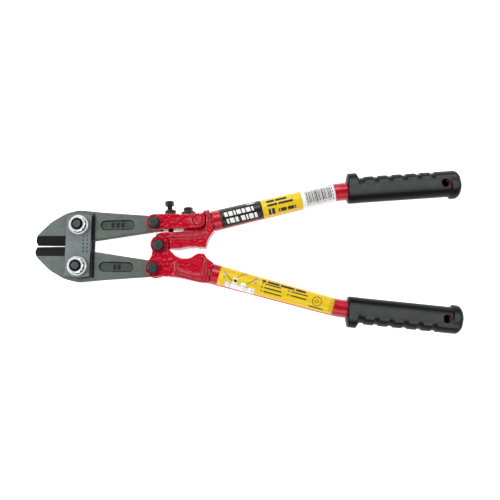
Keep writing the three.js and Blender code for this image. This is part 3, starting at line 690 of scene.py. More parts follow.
def lever_bolt(node, body, shank, turn_deg):
    """A bolt from the head's middle down to its end under the nut."""
    low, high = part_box(node)
    nut = node.replace("bolt", "nut")
    nut_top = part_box(nut)[1][2]
    axis = centre_of(nut)
    end, seat = low[2], high[2] - HEX_HEIGHT
    rings = head_rings(polygon_reach(6, HEX_ACROSS, turn_deg), seat, high[2], disc_share=0.78)
    rings += [(shank, seat), (shank, nut_top)]
    rings += thread_rings(shank, end + 0.5 * MM, nut_top, LEVER_PITCH, 0.25 * MM)
    rings += [(shank - END_CHAMFER, end + END_CHAMFER), (shank - 2 * END_CHAMFER, end), (0.0, end)]
    bolt = grid_piece(node + "_skin", ring_stack(rings, (axis[0], axis[1], 0.0)), hex_steel)
    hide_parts(node)
    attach(bolt, body)
    print(bolt.name, len(bolt.data.polygons), "faces")


lever_bolt("main_pivot_bolt", "lower_handle", 3.1 * MM, -35)
lever_bolt("upper_tail_bolt", "link", 2.6 * MM, -35)
lever_bolt("lower_tail_bolt", "lower_handle", 2.6 * MM, -21)

# %% [markdown]
# The nuts under the lever bolts are thin, with both faces chamfered. One closed loop of rings,
# out over the top, down the wall and back up the bore, makes a nut with a real hole.


# %% Lever nuts
def nut_rings(reach, bore, low, high, sink=0.6 * MM):
    """Rings of a nut with both faces chamfered, from the bore's top, round and back up it."""
    disc = 0.93 * reach.min()
    drop = (reach - disc) * CHAMFER_SLOPE
    outside = [(bore + sink, high), (disc, high), (reach, high - drop), (reach, low + drop),
               (disc, low), (bore + sink, low)]
    return outside + [(bore, low + sink), (bore, high - sink)]


def lever_nut(node, body, bore, turn_deg):
    """The thin lock nut under a lever bolt, a little wider than the bolt's head."""
    low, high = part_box(node)
    axis = centre_of(node)
    rings = nut_rings(polygon_reach(6, HEX_ACROSS + 0.6 * MM, turn_deg), bore, low[2], high[2])
    nut = grid_piece(node + "_skin", ring_stack(rings, (axis[0], axis[1], 0.0)), hex_steel,
                     wrap_rows=True)
    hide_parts(node)
    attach(nut, body)
    print(nut.name, len(nut.data.polygons), "faces")


lever_nut("main_pivot_nut", "lower_handle", 3.2 * MM, 10)
lever_nut("upper_tail_nut", "link", 2.7 * MM, 20)
lever_nut("lower_tail_nut", "lower_handle", 2.7 * MM, 0)

# %% [markdown]
# The jaw nuts are twelve-point flange nuts: two hexagons turned 30 degrees to each other make
# the star, a cone spreads into the round flange, and a countersink rings the bolt's end. Bright
# plating looks dark where it faces only itself, so the gaps of the star and the countersink
# get painted shade: a dark material of their own.


# %% Flange nuts
JAW_THREAD = 3.5 * MM
STAR_ACROSS = 12.1 * MM
STAR_DISC = 5.6 * MM
STAR_FOOT = 1.9 * MM
SINK_RIM = 4.8 * MM
CONE_TOP = 6.8 * MM
FLANGE_EDGE = 0.3 * MM


def flange_nut(node):
    """Rings from the countersink out over the star, down to the cone, over the flange and back
    up the bore."""
    (left, _, bottom), (right, _, top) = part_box(node)
    axis = centre_of(node)
    flange = (right - left) / 2
    star = np.maximum(*(polygon_reach(6, STAR_ACROSS, turn_deg, 0.97) for turn_deg in (0, 30)))
    bore = JAW_THREAD + 0.1 * MM
    drop = (star - STAR_DISC) * CHAMFER_SLOPE
    foot = bottom + STAR_FOOT
    rings = [(bore, top - 1.4 * MM), (bore + 0.3 * MM, top - 1.2 * MM), (SINK_RIM, top - 0.2 * MM),
             (SINK_RIM + 0.2 * MM, top), (STAR_DISC, top), (star, top - drop),
             (star, foot + 0.6 * MM), (star, foot), (CONE_TOP, foot + 0.1 * MM),
             (flange - FLANGE_EDGE, bottom + 1.25 * MM), (flange, bottom + 1.0 * MM),
             (flange, bottom + FLANGE_EDGE), (flange - FLANGE_EDGE, bottom), (bore, bottom)]
    nut = grid_piece(node + "_skin", ring_stack(rings, (axis[0], axis[1], 0.0)), zinc_plate,
                     wrap_rows=True, smooth_angle=28.0)

    def in_gaps(middles):
        """On the star's walls, or in the countersink."""
        out = np.hypot(middles[:, 0] - axis[0], middles[:, 1] - axis[1])
        wall = (out > STAR_DISC) & (out < 7.15 * MM) & (middles[:, 2] < top - 1.0 * MM)
        sink = (out < SINK_RIM - 0.1 * MM) & (middles[:, 2] > top - 1.6 * MM)
        return wall | sink

    second_finish(nut, zinc_shadow, in_gaps)
    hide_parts(node)
    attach(nut, "straps")
    print(nut.name, len(nut.data.polygons), "faces")


# %% [markdown]
# The jaw bolts stand the other way up: a round head underneath, a thick ground shoulder on which
# the jaw turns, and a thinner threaded end, with a turning centre in it, that shows in the nut.

# %% Jaw bolts
JAW_BOLT = 4.5 * MM
CENTRE_RADIUS = 1.2 * MM
CENTRE_DEPTH = 0.15 * MM
HEAD_EDGE = 0.2 * MM


def jaw_bolt(node):
    """Rings from the turning centre on top, down the thread and shoulder, and round the head,
    whose underside is sunk a little in the middle."""
    (left, _, bottom), (right, _, top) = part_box(node)
    axis = centre_of(node)
    head = (right - left) / 2
    seat = 2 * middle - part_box("upper_jaw_nut")[0][2]
    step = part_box("front_strap_plate")[1][2] - 0.2 * MM
    rings = [(0.0, top - CENTRE_DEPTH), (CENTRE_RADIUS, top - CENTRE_DEPTH),
             (CENTRE_RADIUS + 0.2 * MM, top), (JAW_THREAD - 0.6 * MM, top),
             (JAW_THREAD - 0.1 * MM, top - 0.4 * MM)]
    rings += thread_rings(JAW_THREAD, step, top - 0.5 * MM, 0.85 * MM, 0.3 * MM)
    rings += [(JAW_THREAD, step), (JAW_BOLT, step - 0.8 * MM), (JAW_BOLT, seat),
              (head - HEAD_EDGE, seat), (head, seat - HEAD_EDGE), (head, bottom + 0.7 * MM),
              (head - HEAD_EDGE, bottom + 0.3 * MM), (head - 0.7 * MM, bottom),
              (3.6 * MM, bottom), (3.4 * MM, bottom + HEAD_EDGE), (0.0, bottom + HEAD_EDGE)]
    bolt = grid_piece(node + "_skin", ring_stack(rings, (axis[0], axis[1], 0.0)), bolt_end_steel)
    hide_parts(node)
    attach(bolt, "straps")
    print(bolt.name, len(bolt.data.polygons), "faces")


for where in ("upper", "lower"):
    flange_nut(where + "_jaw_nut")
    jaw_bolt(where + "_jaw_bolt")

# %% [markdown]
# The adjusting screw and the clamp bolt stand square on the link's back, in the plane of the
# tool, and lean a little. Their axis is the direction in which the screw travels, so it is read
# from that joint instead of being measured again.

# %% Adjusting screw, lock nut and clamp bolt
SCREW = 2.3 * MM
SCREW_HEAD = 4.3 * MM
SMALL_HEX = 6.9 * MM
LOCK_NUT_ACROSS = 8.6 * MM
CLAMP = 2.0 * MM
CLAMP_HEAD = 5.1 * MM
CLAMP_FLANGE = 6.2 * MM
CLAMP_FLANGE_HEIGHT = 1.6 * MM
screw_joint = next(joint for joint in frame["record"]["behaviour"]["joints"]
                   if joint["name"] == "screw_travel")
lean_axis = np.array(screw_joint["axis"], dtype=float)
lean_axis /= np.linalg.norm(lean_axis)


def span_along(node):
    """Lowest and highest distance along the leaning axis that a node's points reach."""
    mesh = frame["nodes"][node].data
    points = np.empty(len(mesh.vertices) * 3)
    mesh.vertices.foreach_get("co", points)
    reach = points.reshape(-1, 3) @ lean_axis
    return float(reach.min()), float(reach.max())


def leaning_piece(node, body, rings, **how):
    """A fastener from rings at distances along the leaning axis. The axis passes the middle of
    the node's box, and the distances count from where it is level with the frame's zero."""
    place = centre_of(node)
    base = place - lean_axis * float(np.dot(place * [1, 1, 0], lean_axis))
    piece = grid_piece(node + "_skin", ring_stack(rings, base, lean_axis), black_oxide, **how)
    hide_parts(node)
    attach(piece, body)
    print(piece.name, len(piece.data.polygons), "faces")


end, top = span_along("adjusting_screw")
seat = top - SCREW_HEAD
rings = head_rings(polygon_reach(6, SMALL_HEX, -15), seat, top, disc_share=0.86) + [(SCREW, seat)]
rings += thread_rings(SCREW, end + 0.8 * MM, seat, 0.8 * MM, 0.32 * MM)
rings += [(SCREW - 0.6 * MM, end), (0.0, end)]
leaning_piece("adjusting_screw", "screw", rings)

rings = nut_rings(polygon_reach(6, LOCK_NUT_ACROSS, -20), SCREW + 0.1 * MM,
                  *span_along("adjusting_lock_nut"), sink=0.4 * MM)
leaning_piece("adjusting_lock_nut", "link", rings, wrap_rows=True)

end, top = span_along("clamp_bolt")
seat = top - CLAMP_HEAD
rings = head_rings(polygon_reach(6, SMALL_HEX, -10), seat + CLAMP_FLANGE_HEIGHT, top,
                   disc_share=0.86)
rings += [(4.7 * MM, seat + CLAMP_FLANGE_HEIGHT), (CLAMP_FLANGE - 0.2 * MM, seat + 1.0 * MM),
          (CLAMP_FLANGE, seat + 0.7 * MM), (CLAMP_FLANGE, seat + 0.2 * MM),
          (CLAMP_FLANGE - 0.2 * MM, seat), (CLAMP, seat)]
rings += thread_rings(CLAMP, end, seat, 0.7 * MM, 0.25 * MM) + [(0.0, end)]
leaning_piece("clamp_bolt", "upper_handle", rings)

# %% [markdown]
# The link's pin is riveted over and painted with the link, so what shows is a set of soft
# rings in the red enamel round a small dimple. The same happens on the underside.

# %% Link pin
(pin_left, _, _), (pin_right, _, pin_crown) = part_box("link_pivot_pin")
pin_radius = (pin_right - pin_left) / 2
share = np.linspace(0.0, 1.0, 26)
relief = 0.16 * MM * np.cos(share * 4.5 * np.pi) - 0.3 * MM * share ** 6
pin_top = [(pin_radius * s, pin_crown - 0.2 * MM + r) for s, r in zip(share, relief)]
pin_bottom = [(radius, 2 * middle - height) for radius, height in reversed(pin_top)]
pin = grid_piece("link_pivot_pin_skin", ring_stack(pin_top + pin_bottom, (*boss_place[:2], 0.0)),
                 forged_red, smooth_angle=60.0)
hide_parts("link_pivot_pin")
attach(pin, "upper_handle")
print(pin.name, len(pin.data.polygons), "faces")

# %% [markdown]
# ## Handles
# Each handle is a steel tube that runs straight from the lever's neck, bends slightly and ends
# inside the grip. A curve with a round bevel could draw the tube, but not the grip or the
# labels. So all handle pieces use one path: a distance along it gives a point and a heading,
# and a tube, a grip or a label is a shape in (distance, outwards, up) carried along it.

# %% Handle path
TUBE_SLOPE = math.radians(14.37)
GRIP_SLOPE = math.radians(4.9)
NECK = np.array([43.35, 21.95]) * MM
BEND_RADIUS = 60 * MM
NECK_TO_BEND = 107.9 * MM
BEND_TO_END = 104.9 * MM
BEND_TO_MOUTH = 8.5 * MM
bend_angle = TUBE_SLOPE - GRIP_SLOPE
tangent = BEND_RADIUS * math.tan(bend_angle / 2)
bend_start = NECK_TO_BEND - tangent
bend_length = BEND_RADIUS * bend_angle
handle_length = bend_start + bend_length + BEND_TO_END - tangent
grip_mouth = bend_start + bend_length + BEND_TO_MOUTH - tangent
print("handle path is", round(handle_length / MM, 1), "mm long")


def carried(side, distance, out, up):
    """Points of a shape carried along a handle: the path point, plus `out` along the path's
    normal and `up` along +Z. The path is a straight line, an arc, whose chord is twice the
    radius times the sine of half its angle, and a straight line. The lower handle (side -1)
    mirrors the upper one."""
    arc = np.clip(distance - bend_start, 0, bend_length)
    heading = TUBE_SLOPE - arc / BEND_RADIUS
    chord = 2 * BEND_RADIUS * np.sin(arc / BEND_RADIUS / 2)
    chord_heading = TUBE_SLOPE - arc / BEND_RADIUS / 2
    first = np.minimum(distance, bend_start)
    last = np.maximum(distance - bend_start - bend_length, 0)
    x = (NECK[0] + first * math.cos(TUBE_SLOPE) + chord * np.cos(chord_heading)
         + last * np.cos(heading))
    y = (NECK[1] + first * math.sin(TUBE_SLOPE) + chord * np.sin(chord_heading)
         + last * np.sin(heading))
    points = np.stack([x - out * np.sin(heading), side * (y + out * np.cos(heading)),
                       up + np.zeros_like(x)], axis=-1)
    return levers_to_frame(points)


# %% [markdown]
# The tube narrows from the neck to the bend, and its front rim is rounded. The hang hole goes
# through the tube and the grip. It is cut with a round bar, because a hole drawn
# into the grid would bend the rows round it. The bore was never painted, so the faces nearer the
# path than the wall get a bare finish, toned near-black, which is partly painted shade inside the
# tube.

# %% Tubes
TUBE_FRONT, TUBE_REAR = 8.65 * MM, 7.5 * MM
TUBE_WALL = 1.6 * MM
TUBE_INSET = 5.3 * MM
TUBE_STEPS = 70
AROUND = np.linspace(0, 2 * np.pi, 72, endpoint=False)
HANG_INSET = 15.2 * MM
HANG_BAR = 20 * MM
TUBE_HOLE = 3.3 * MM
GRIP_HOLE, GRIP_HOLE_LOW = 4.4 * MM, 1.2 * MM


def tube_radius(distance):
    """The tube tapers in a straight line from the neck to the bend."""
    share = np.clip(distance / bend_start, 0, 1)
    return TUBE_FRONT + (TUBE_REAR - TUBE_FRONT) * share


def path_points(side, distance):
    """Points of the handle's path itself."""
    return carried(side, distance, np.zeros_like(distance), np.zeros_like(distance))


def cut_hole(piece, cutter_points):
    """Cuts a closed grid shape out of a piece and applies the cut."""
    cutter = grid_piece("hole_cutter", cutter_points, piece.data.materials[0])
    cut = piece.modifiers.new("hole", "BOOLEAN")
    cut.operation = "DIFFERENCE"
    cut.solver = "EXACT"
    cut.object = cutter
    graph = bpy.context.evaluated_depsgraph_get()
    graph.update()
    finished = bpy.data.meshes.new_from_object(piece.evaluated_get(graph))
    piece.modifiers.clear()
    piece.data = finished
    bpy.data.objects.remove(cutter)
    finished.polygons.foreach_set("use_smooth", np.ones(len(finished.polygons), dtype=bool))
    finished.set_sharp_from_angle(angle=math.radians(38))


def hang_cutter(side, radius, low_radius):
    """A round bar through the handle, square to the tool's plane, as wide as low_radius at its
    lower end and as radius at its upper end."""
    place = path_points(side, np.array([handle_length - HANG_INSET]))[0]
    rings = [(0.0, -HANG_BAR), (low_radius, -HANG_BAR), (radius, HANG_BAR), (0.0, HANG_BAR)]
    return ring_stack(rings, place)


def handle_tube(side, name, body):
    """A tapering tube with a rounded front rim, hollow, ending inside the grip."""
    rim = np.array([0.3, 0.42, 0.7]) * MM
    distance = np.concatenate([rim, np.linspace(2 * MM, handle_length - TUBE_INSET, TUBE_STEPS)])
    rounding = np.concatenate([np.array([0.45, 0.12, 0.0]) * MM, np.zeros(TUBE_STEPS)])
    outer = tube_radius(distance) - rounding
    inner = tube_radius(distance) - TUBE_WALL
    radius = np.concatenate([outer, inner[::-1]])
    s, a = np.meshgrid(np.concatenate([distance, distance[::-1]]), AROUND, indexing="ij")
    r = np.broadcast_to(radius[:, None], s.shape)
    tube = grid_piece(name + "_skin", carried(side, s, r * np.cos(a), r * np.sin(a)), tube_red,
                      wrap_rows=True)
    cut_hole(tube, hang_cutter(side, TUBE_HOLE, TUBE_HOLE))
    path = path_points(side, distance)

    def in_bore(middles):
        """Nearer the path than the wall's inner part; the path is read off by x."""
        near = np.interp(middles[:, 0], path[:, 0], distance)
        axis_y = np.interp(middles[:, 0], path[:, 0], path[:, 1])
        away = np.hypot(middles[:, 1] - axis_y, middles[:, 2] - middle)
        return away < tube_radius(near) - 0.6 * TUBE_WALL

    second_finish(tube, bare_bore_with_painted_shade, in_bore)
    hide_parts(name)
    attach(tube, body)
    print(tube.name, len(tube.data.polygons), "faces")


handle_tube(1, "upper_handle_tube", "upper_handle")
handle_tube(-1, "lower_handle_tube", "lower_handle")

# %% [markdown]
# ## Grips
# The grip is one moulding. Going back from its mouth: a thumb guard swells on the outer side
# only, six finger pads stand up from the outer side with narrow valleys between them, and the
# end is a rounded bead that hooks over on the inner side. It could be sculpted, but a formula
# keeps the pads even. The section is a circle whose radius grows by smooth bumps in the distance
# along the grip, each weighted by how far the point faces outwards.

# %% Grip surface
GRIP_RADIUS = 10.5 * MM
GRIP_STEPS = 230
DOME_LENGTH = 7 * MM
GUARD_LENGTH = 10.7 * MM
GUARD_HEIGHT = 4.45 * MM
FIRST_PAD = 14.2 * MM
PAD_PITCH = 11.85 * MM
PAD_COUNT = 6
PAD_HEIGHT = 1.0 * MM
BEAD_HEIGHT = 1.9 * MM
FLOOR_GAP = 0.02 * MM  # the grips' lowest points stay this far above the tool's lowest plane


def rise(value, start, end):
    """Smooth step from 0 at start to 1 at end: 3t^2 - 2t^3."""
    t = np.clip((value - start) / (end - start), 0, 1)
    return t * t * (3 - 2 * t)


def grip_growth(d, facing, length):
    """How far the skin stands above the plain section at distance d and at a point whose share
    of facing outwards is `facing`, -1 to 1: guard, pads and bead added up."""
    outwards = np.clip(facing, 0, 1)
    guard = rise(d, -0.4 * MM, 1.8 * MM)
    guard = guard * (1 - rise(d, GUARD_LENGTH - 2.6 * MM, GUARD_LENGTH + 0.6 * MM))
    phase = (d - FIRST_PAD) / PAD_PITCH
    pad = (phase > 0) * rise(phase % 1.0, 0.0, 0.09) * (1 - rise(phase % 1.0, 0.66, 0.77))
    pad = np.where(phase > PAD_COUNT - 1 + 0.35, 1.0, pad)
    bead = rise(d, length - 11.0 * MM, length - 9.8 * MM)
    growth = guard * (0.15 * MM + GUARD_HEIGHT * outwards ** 1.5)
    growth = growth + pad * PAD_HEIGHT * rise(outwards, 0.42, 0.62)
    return growth + bead * BEAD_HEIGHT * rise(-facing, -0.45, 0.35)


def grip_points():
    """Distance, outwards and up for each row and angle. The end is a dome: the radius shrinks by
    the square root of 1 - t^2.4, with t the share of the dome's length."""
    length = handle_length - grip_mouth
    dome_start = length - DOME_LENGTH
    dome = dome_start + DOME_LENGTH * np.sin(np.linspace(0, np.pi / 2, 16)[1:])
    d = np.concatenate([np.linspace(0, dome_start, GRIP_STEPS), dome])[:, None]
    facing = np.cos(AROUND)[None, :]
    share = np.clip((d - dome_start) / DOME_LENGTH, 0, 1)
    shrink = np.sqrt(np.clip(1 - share ** 2.4, 0, 1))
    lip = 1 - 0.06 * (1 - rise(d, 0.0, 0.9 * MM))
    radius = (GRIP_RADIUS + grip_growth(d, facing, length)) * shrink * lip
    s = np.broadcast_to(grip_mouth + d, radius.shape)
    room = middle - FLOOR_GAP
    return s, radius * facing, np.clip(radius * np.sin(AROUND)[None, :], -room, room)


def handle_grip(side, name, body):
    """The outer skin, closed at the mouth by an inner bore round the tube."""
    bore_radius = TUBE_REAR + 0.3 * MM
    bore_ends = np.array([grip_mouth, handle_length - 5.0 * MM])
    bs, ba = np.meshgrid(bore_ends, AROUND, indexing="ij")
    bore = carried(side, bs, bore_radius * np.cos(ba), bore_radius * np.sin(ba))
    cap = np.broadcast_to(path_points(side, bore_ends[1:])[0], bore[:1].shape)
    points = np.concatenate([cap, bore[::-1], carried(side, *grip_points())])
    grip = grid_piece(name + "_skin", points, rubber, smooth_angle=50.0)
    cut_hole(grip, hang_cutter(side, GRIP_HOLE, GRIP_HOLE_LOW))
    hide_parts(name)
    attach(grip, body)
    print(grip.name, len(grip.data.polygons), "faces")


handle_grip(1, "upper_grip", "upper_handle")
handle_grip(-1, "lower_grip", "lower_handle")

# %% [markdown]
# ## Labels
# A printed film wraps the upper side of each tube. The print could be drawn in a material, but
# as thin pieces of their own the marks stay sharp and are part of the mesh. The film is a sheet
# of cylinder a few hundredths of a millimetre proud, and each mark is a smaller patch on top of
# it. The marks are plain blocks: they stand where words, a bar code and a drawing would be, and
# say nothing. A patch has four corners in (distance, height on the label) and is bent on to the
# tube by up = sqrt(radius^2 - height^2).


# %% Label patches
FILM_WELD = 1e-8
INK_LIFT = 0.10 * MM
TOP_INK_LIFT = 0.12 * MM


def lay_film(piece, wall, body):
    """Turns a sheet's faces up, gives it a thin wall inwards and lets it ride."""
    if np.mean([polygon.normal.z for polygon in piece.data.polygons]) < 0:
        piece.data.flip_normals()
    thickness = piece.modifiers.new("film", "SOLIDIFY")
    thickness.thickness = wall
    thickness.offset = -1.0
    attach(piece, body)


def film(name, side, start, end, low_deg, high_deg, material, body):
    """The label's ground: a wall of the tube from start to end in mm, between two angles from
    the top, counted towards +Y, and a few hundredths proud."""
    s, a = np.meshgrid(np.linspace(start, end, 24) * MM,
                       np.radians(np.linspace(low_deg, high_deg, 40)), indexing="ij")
    radius = tube_radius(s) + 0.06 * MM
    points = carried(side, s, side * radius * np.sin(a), radius * np.cos(a))
    lay_film(grid_piece(name, points, material, wrap_columns=False, weld=FILM_WELD), 0.05 * MM,
             body)


def patch_points(side, corners, lift, cells):
    """A four-cornered patch on the tube: corners (distance, height) in mm, anticlockwise from
    the lower left, blended over a grid of cells."""
    u, v = np.meshgrid(*(np.linspace(0, 1, count + 1) for count in cells), indexing="ij")
    weights = np.stack([(1 - u) * (1 - v), u * (1 - v), u * v, (1 - u) * v])
    distance, height = np.tensordot(np.array(corners, dtype=float).T * MM, weights, axes=1)
    radius = tube_radius(distance) + lift
    up = np.sqrt(np.clip(radius ** 2 - height ** 2, 0, None))
    return carried(side, distance, side * height, up)


def print_marks(name, side, patches, material, lift, body, cells=(4, 6)):
    """Many patches joined in one mesh with a thin wall."""
    points, faces, first = [], [], 0
    for corners in patches:
        grid = patch_points(side, corners, lift, cells)
        points.append(grid.reshape(-1, 3))
        faces.append(grid_faces(cells[0] + 1, cells[1] + 1, False, False, first))
        first += grid.shape[0] * grid.shape[1]
    piece = make_piece(name, np.concatenate(points), np.concatenate(faces), material,
                       weld=FILM_WELD)
    lay_film(piece, 0.03 * MM, body)


def block(distance, height, width, tall, slant=0.0):
    """Corners of an upright block on a label, slanted by that much along the tube."""
    return [(distance, height), (distance + width, height),
            (distance + width + slant, height + tall), (distance + slant, height + tall)]


def block_row(distance, height, tall, slant, *spans):
    """A row of blocks of one height, each span being (offset, width)."""
    return [block(distance + offset, height, width, tall, slant) for offset, width in spans]


def ring_marks(distance, height, outer, inner, parts=20):
    """Corners of the blocks that make up a printed ring, or a dot when inner is 0."""
    turn = [2 * math.pi * i / parts for i in range(parts + 1)]

    def spot(radius, angle):
        """A point on the ring: the centre plus the radius times cosine and sine."""
        return distance + radius * math.cos(angle), height + radius * math.sin(angle)

    return [[spot(inner, a), spot(outer, a), spot(outer, b), spot(inner, b)]
            for a, b in zip(turn, turn[1:])]


# %% [markdown]
# The upper label has three grounds: black with two rows of slanted blocks for a title, yellow
# with rows of black blocks, and white with a run of bars whose widths come from two sine waves,
# so that they look irregular but encode nothing. Sizes on the labels are in millimetres.


# %% Upper label
film("upper_label_black", 1, 7.5, 43.0, -68, 100, ink_black, "upper_handle")
film("upper_label_yellow", 1, 43.0, 77.0, -74, 100, ink_yellow, "upper_handle")
film("upper_label_white", 1, 77.0, 105.5, -84, 100, ink_white, "upper_handle")
title_blocks = block_row(11.4, -0.2, 3.9, -0.5, (0, 2.6), (3.6, 3.4), (8.0, 1.4), (10.4, 3.6),
                         (15.0, 2.4), (18.4, 3.8), (23.2, 1.6))
title_blocks += block_row(12.4, -5.9, 3.9, -0.5, (0, 1.6), (2.6, 3.8), (7.4, 2.4), (12.2, 3.4),
                          (16.6, 1.4), (19.0, 3.6), (23.6, 2.2))
title_blocks += [block(31.0, 6.0, 7.0, 0.8)]
print_marks("upper_label_title_blocks", 1, title_blocks, ink_white, INK_LIFT, "upper_handle")
word_blocks = block_row(47.5, 3.4, 2.0, 0.0, (0, 6.6), (7.6, 9.6))
word_blocks += block_row(47.5, 0.0, 2.0, 0.0, (0, 8.4), (9.4, 12.6))
word_blocks += [block(47.7, -6.6, 2.0, 4.6), block(50.5, -6.6, 2.6, 4.6)]
word_blocks += block_row(56.3, -5.8, 2.6, 0.0, (0, 1.2), (2.0, 4.6), (7.8, 5.4), (13.8, 1.0))
print_marks("upper_label_word_blocks", 1, word_blocks, ink_black, INK_LIFT, "upper_handle")
count = np.arange(22)
widths = 0.28 + 0.5 * (np.sin(count * 2.4) > 0.1) + 0.3 * (np.sin(count * 5.1) > 0.6)
starts = 80.5 + np.concatenate([[0], np.cumsum(widths[:-1] + 0.42)])
bars = [block(s, -6.9, w, 13.6) for s, w in zip(starts, widths)]
bars += [block(103.0, -6.0 + 2.8 * i, 0.7, 1.9) for i in range(5)]
print_marks("upper_label_bars", 1, bars, ink_black, INK_LIFT, "upper_handle", (1, 10))
print("bar pattern runs to", round(float(starts[-1] + widths[-1]), 1), "mm")

# %% [markdown]
# The lower label is yellow throughout. It has short bars in place of a heading and of lines of
# print, and a plain sketch in white and grey with dots and leader lines, where real labels show
# how a tool is set. Marks that lie on other marks stand a little higher, so that neither
# flickers through the other.

# %% Lower label
film("lower_label_yellow", -1, 7.0, 104.5, -60, 84, ink_yellow, "lower_handle")
heading = block_row(42.9, 4.4, 1.8, 0.0, (0, 3.2), (4.4, 10.2), (15.8, 11.6), (28.6, 8.6))
heading += [block(43.4, 2.5 - 3.15 * i, 0.9, 1.5) for i in range(3)]
heading += [block(65.6, 2.0 - 3.2 * i, 0.9, 1.5) for i in range(2)]
print_marks("lower_label_heading", -1, heading, ink_black, INK_LIFT, "lower_handle")
lines = [block(45.7, 2.7 - 3.15 * i, w, 1.0) for i, w in enumerate((13.5, 14.5, 15.5))]
lines += [block(68.0, 2.2 - 3.2 * i, w, 1.0) for i, w in enumerate((14.0, 13.5))]
lines += [block(84.5, -5.1, 12.5, 0.9), block(101.3, -6.4, 0.8, 12.4)]
leaders = [[(12.6, 2.3), (13.2, 2.6), (19.6, -1.9), (19.1, -2.3)],
           [(22.0, 2.3), (22.4, 2.0), (27.6, 7.0), (27.2, 7.3)],
           [(30.2, -1.6), (30.6, -1.9), (37.2, 4.2), (36.8, 4.5)]]
ring_pair = ring_marks(90.4, 0.6, 4.0, 3.5) + ring_marks(90.4, 0.6, 1.5, 1.1)
print_marks("lower_label_fine_lines", -1, lines + leaders + ring_pair, ink_black, INK_LIFT,
            "lower_handle")
drawing = [[(17.0, -7.4), (38.6, -7.5), (38.6, -3.0), (33.2, -3.4)],
           [(17.0, -7.4), (33.2, -3.4), (28.0, -3.0), (18.6, -3.6)],
           block(19.0, -3.4, 4.6, 1.7), block(26.4, -3.1, 4.4, 2.3), block(19.2, 0.2, 4.0, 1.5)]
drawing += ring_marks(15.4, -5.2, 2.2, 0.0)
print_marks("lower_label_drawing", -1, drawing, ink_white, INK_LIFT, "lower_handle")
outlines = ring_marks(15.4, -5.2, 2.6, 2.2) + ring_marks(15.4, -5.2, 1.2, 0.9)
outlines += [[(17.6, -3.9), (18.0, -3.5), (33.2, -3.3), (33.2, -3.7)], block(36.0, -7.2, 0.4, 4.0)]
outlines += ring_marks(31.0, -5.4, 1.6, 1.2)
print_marks("lower_label_outlines", -1, outlines, ink_grey, TOP_INK_LIFT, "lower_handle")
print_marks("lower_label_screw", -1, [block(20.4, -2.1, 2.1, 2.4)], ink_black, TOP_INK_LIFT,
            "lower_handle")
dot_places = ((11.6, 3.8), (11.8, -0.2), (28.0, 7.2), (37.7, 5.4), (37.9, 1.5))
dots = sum((ring_marks(d, h, 1.1, 0.0) for d, h in dot_places), [])
print_marks("lower_label_dots", -1, dots, ink_grey, TOP_INK_LIFT, "lower_handle")
print("lower label has", len(heading + lines + leaders), "blocks and", len(dot_places), "dots")

# %% [markdown]
# ## Small marks on the steel
# The strap carries two columns of shallow stamped marks, and each jaw pocket a row of raised
# ones. Both are drawn as plain pads with no meaning.


# %% Raised pads
PAD_EDGE = 0.12 * MM


def raised_pads(name, pads, height, top, material, body):
    """Low pads with sloping sides: each is (x, y, length, width) in metres on a face at `top`,
    built of three rectangles that shrink on their way up."""
    points, faces, first = [], [], 0
    for x, y, length, width in pads:
        rings = []
        for shrink, step in ((0.0, 0.0), (PAD_EDGE, height * 0.8), (PAD_EDGE + 0.1 * MM, height)):
            a, b, z = length / 2 - shrink, width / 2 - shrink, top + step
            rings.append([[x - a, y - b, z], [x + a, y - b, z],
                          [x + a, y + b, z], [x - a, y + b, z]])
        points.append(np.array(rings).reshape(-1, 3))
        ends = np.array([[8, 9, 10, 11], [3, 2, 1, 0]]) + first
        faces += [grid_faces(3, 4, False, True, first), ends]
        first += 12
    piece = make_piece(name, np.concatenate(points), np.concatenate(faces), material)
    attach(piece, body)
    print(name, "has", len(pads), "pads")


(_, strap_foot, _), (strap_edge, strap_crown, strap_top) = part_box("front_strap_plate")
strap_middle = centre_of("front_strap_plate")
stamps = [(strap_middle[0] + dx * MM, strap_middle[1] + (-5.0 + 3.2 * i) * MM, 1.5 * MM, 1.9 * MM)
          for dx in (4.4, 7.6) for i in range(5)]
raised_pads("strap_stamp_marks", stamps, 0.05 * MM, strap_top - 0.02 * MM, pocket_floor,
            "straps")

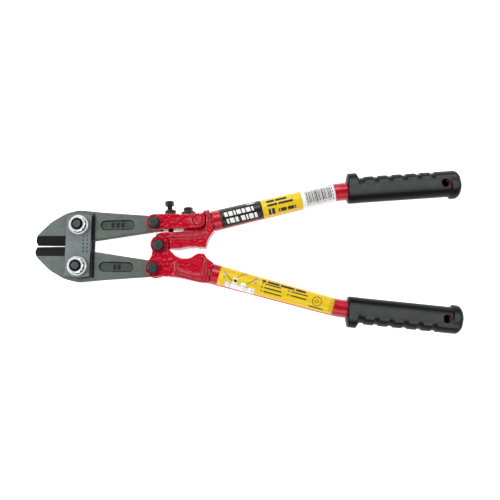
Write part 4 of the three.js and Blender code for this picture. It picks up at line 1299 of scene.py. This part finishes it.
# %% [markdown]
# In three places the jaws get darker tones: a band beside the strap's rear edge is painted
# shadow, the pocket rims are painted shade, and the pocket floors take a darker tone. These
# finishes go on the faces of the jaws that lie within a stated distance of the pocket's middle
# line or of the strap's edge.


# %% Jaw pockets
JAW_FACE = 4.75 * MM
POCKET_DEPTH = 1.12 * MM
POCKET_FLOOR_REACH = 3.25 * MM
POCKET_RIM_REACH = 4.15 * MM


def within(path, nearest, furthest):
    """A test for the faces that lie between two distances from a path in plan."""
    def chosen(middles):
        away = path_distance(middles[:, 0], middles[:, 1], path)
        return (away > nearest) & (away <= furthest)
    return chosen


def strap_painted_shadow_band(middles):
    """The faces in a band 2.4 mm wide along the strap's rear edge, as tall as the strap, which get
    its painted shadow.
    """
    x, y = middles[:, 0], middles[:, 1]
    return (np.abs(x - strap_edge - 0.9 * MM) < 1.2 * MM) & (y > strap_foot) & (y < strap_crown)


for jaw, where, side, columns in ((upper_jaw, "upper", 1, (-4.2, 0.0, 4.2)),
                                  (lower_jaw, "lower", -1, (-1.4, 2.2))):
    bolt_x, bolt_y, _ = centre_of(where + "_jaw_bolt")
    spine = [(bolt_x + 21.3 * MM, bolt_y + side * 0.1 * MM),
             (bolt_x + 41.6 * MM, bolt_y + side * 0.6 * MM)]
    pads = [(bolt_x + (31.45 + dx) * MM, bolt_y + side * 0.35 * MM, 2.3 * MM, 3.9 * MM)
            for dx in columns]
    raised_pads(where + "_pocket_marks", pads, 0.5 * MM, middle + JAW_FACE - POCKET_DEPTH,
                dark_marks_and_painted_shade, where + "_jaw_body")
    second_finish(jaw, dark_marks_and_painted_shade, strap_painted_shadow_band)
    second_finish(jaw, dark_marks_and_painted_shade, within(spine, POCKET_FLOOR_REACH, POCKET_RIM_REACH))
    second_finish(jaw, pocket_floor, within(spine, -MM, POCKET_FLOOR_REACH))
print("both pockets have dark floors and rims")

# %% [markdown]
# The two strap plates are flat parts with crisp edges, so the plain solids already have the
# right shape. They keep it and only get the plate steel.

# %% Finish the plain plates
for node in ("front_strap_plate", "rear_strap_plate"):
    plate = frame["nodes"][node]
    plate.data.materials.clear()
    plate.data.materials.append(strap_steel)
    print(node, "keeps its solid")
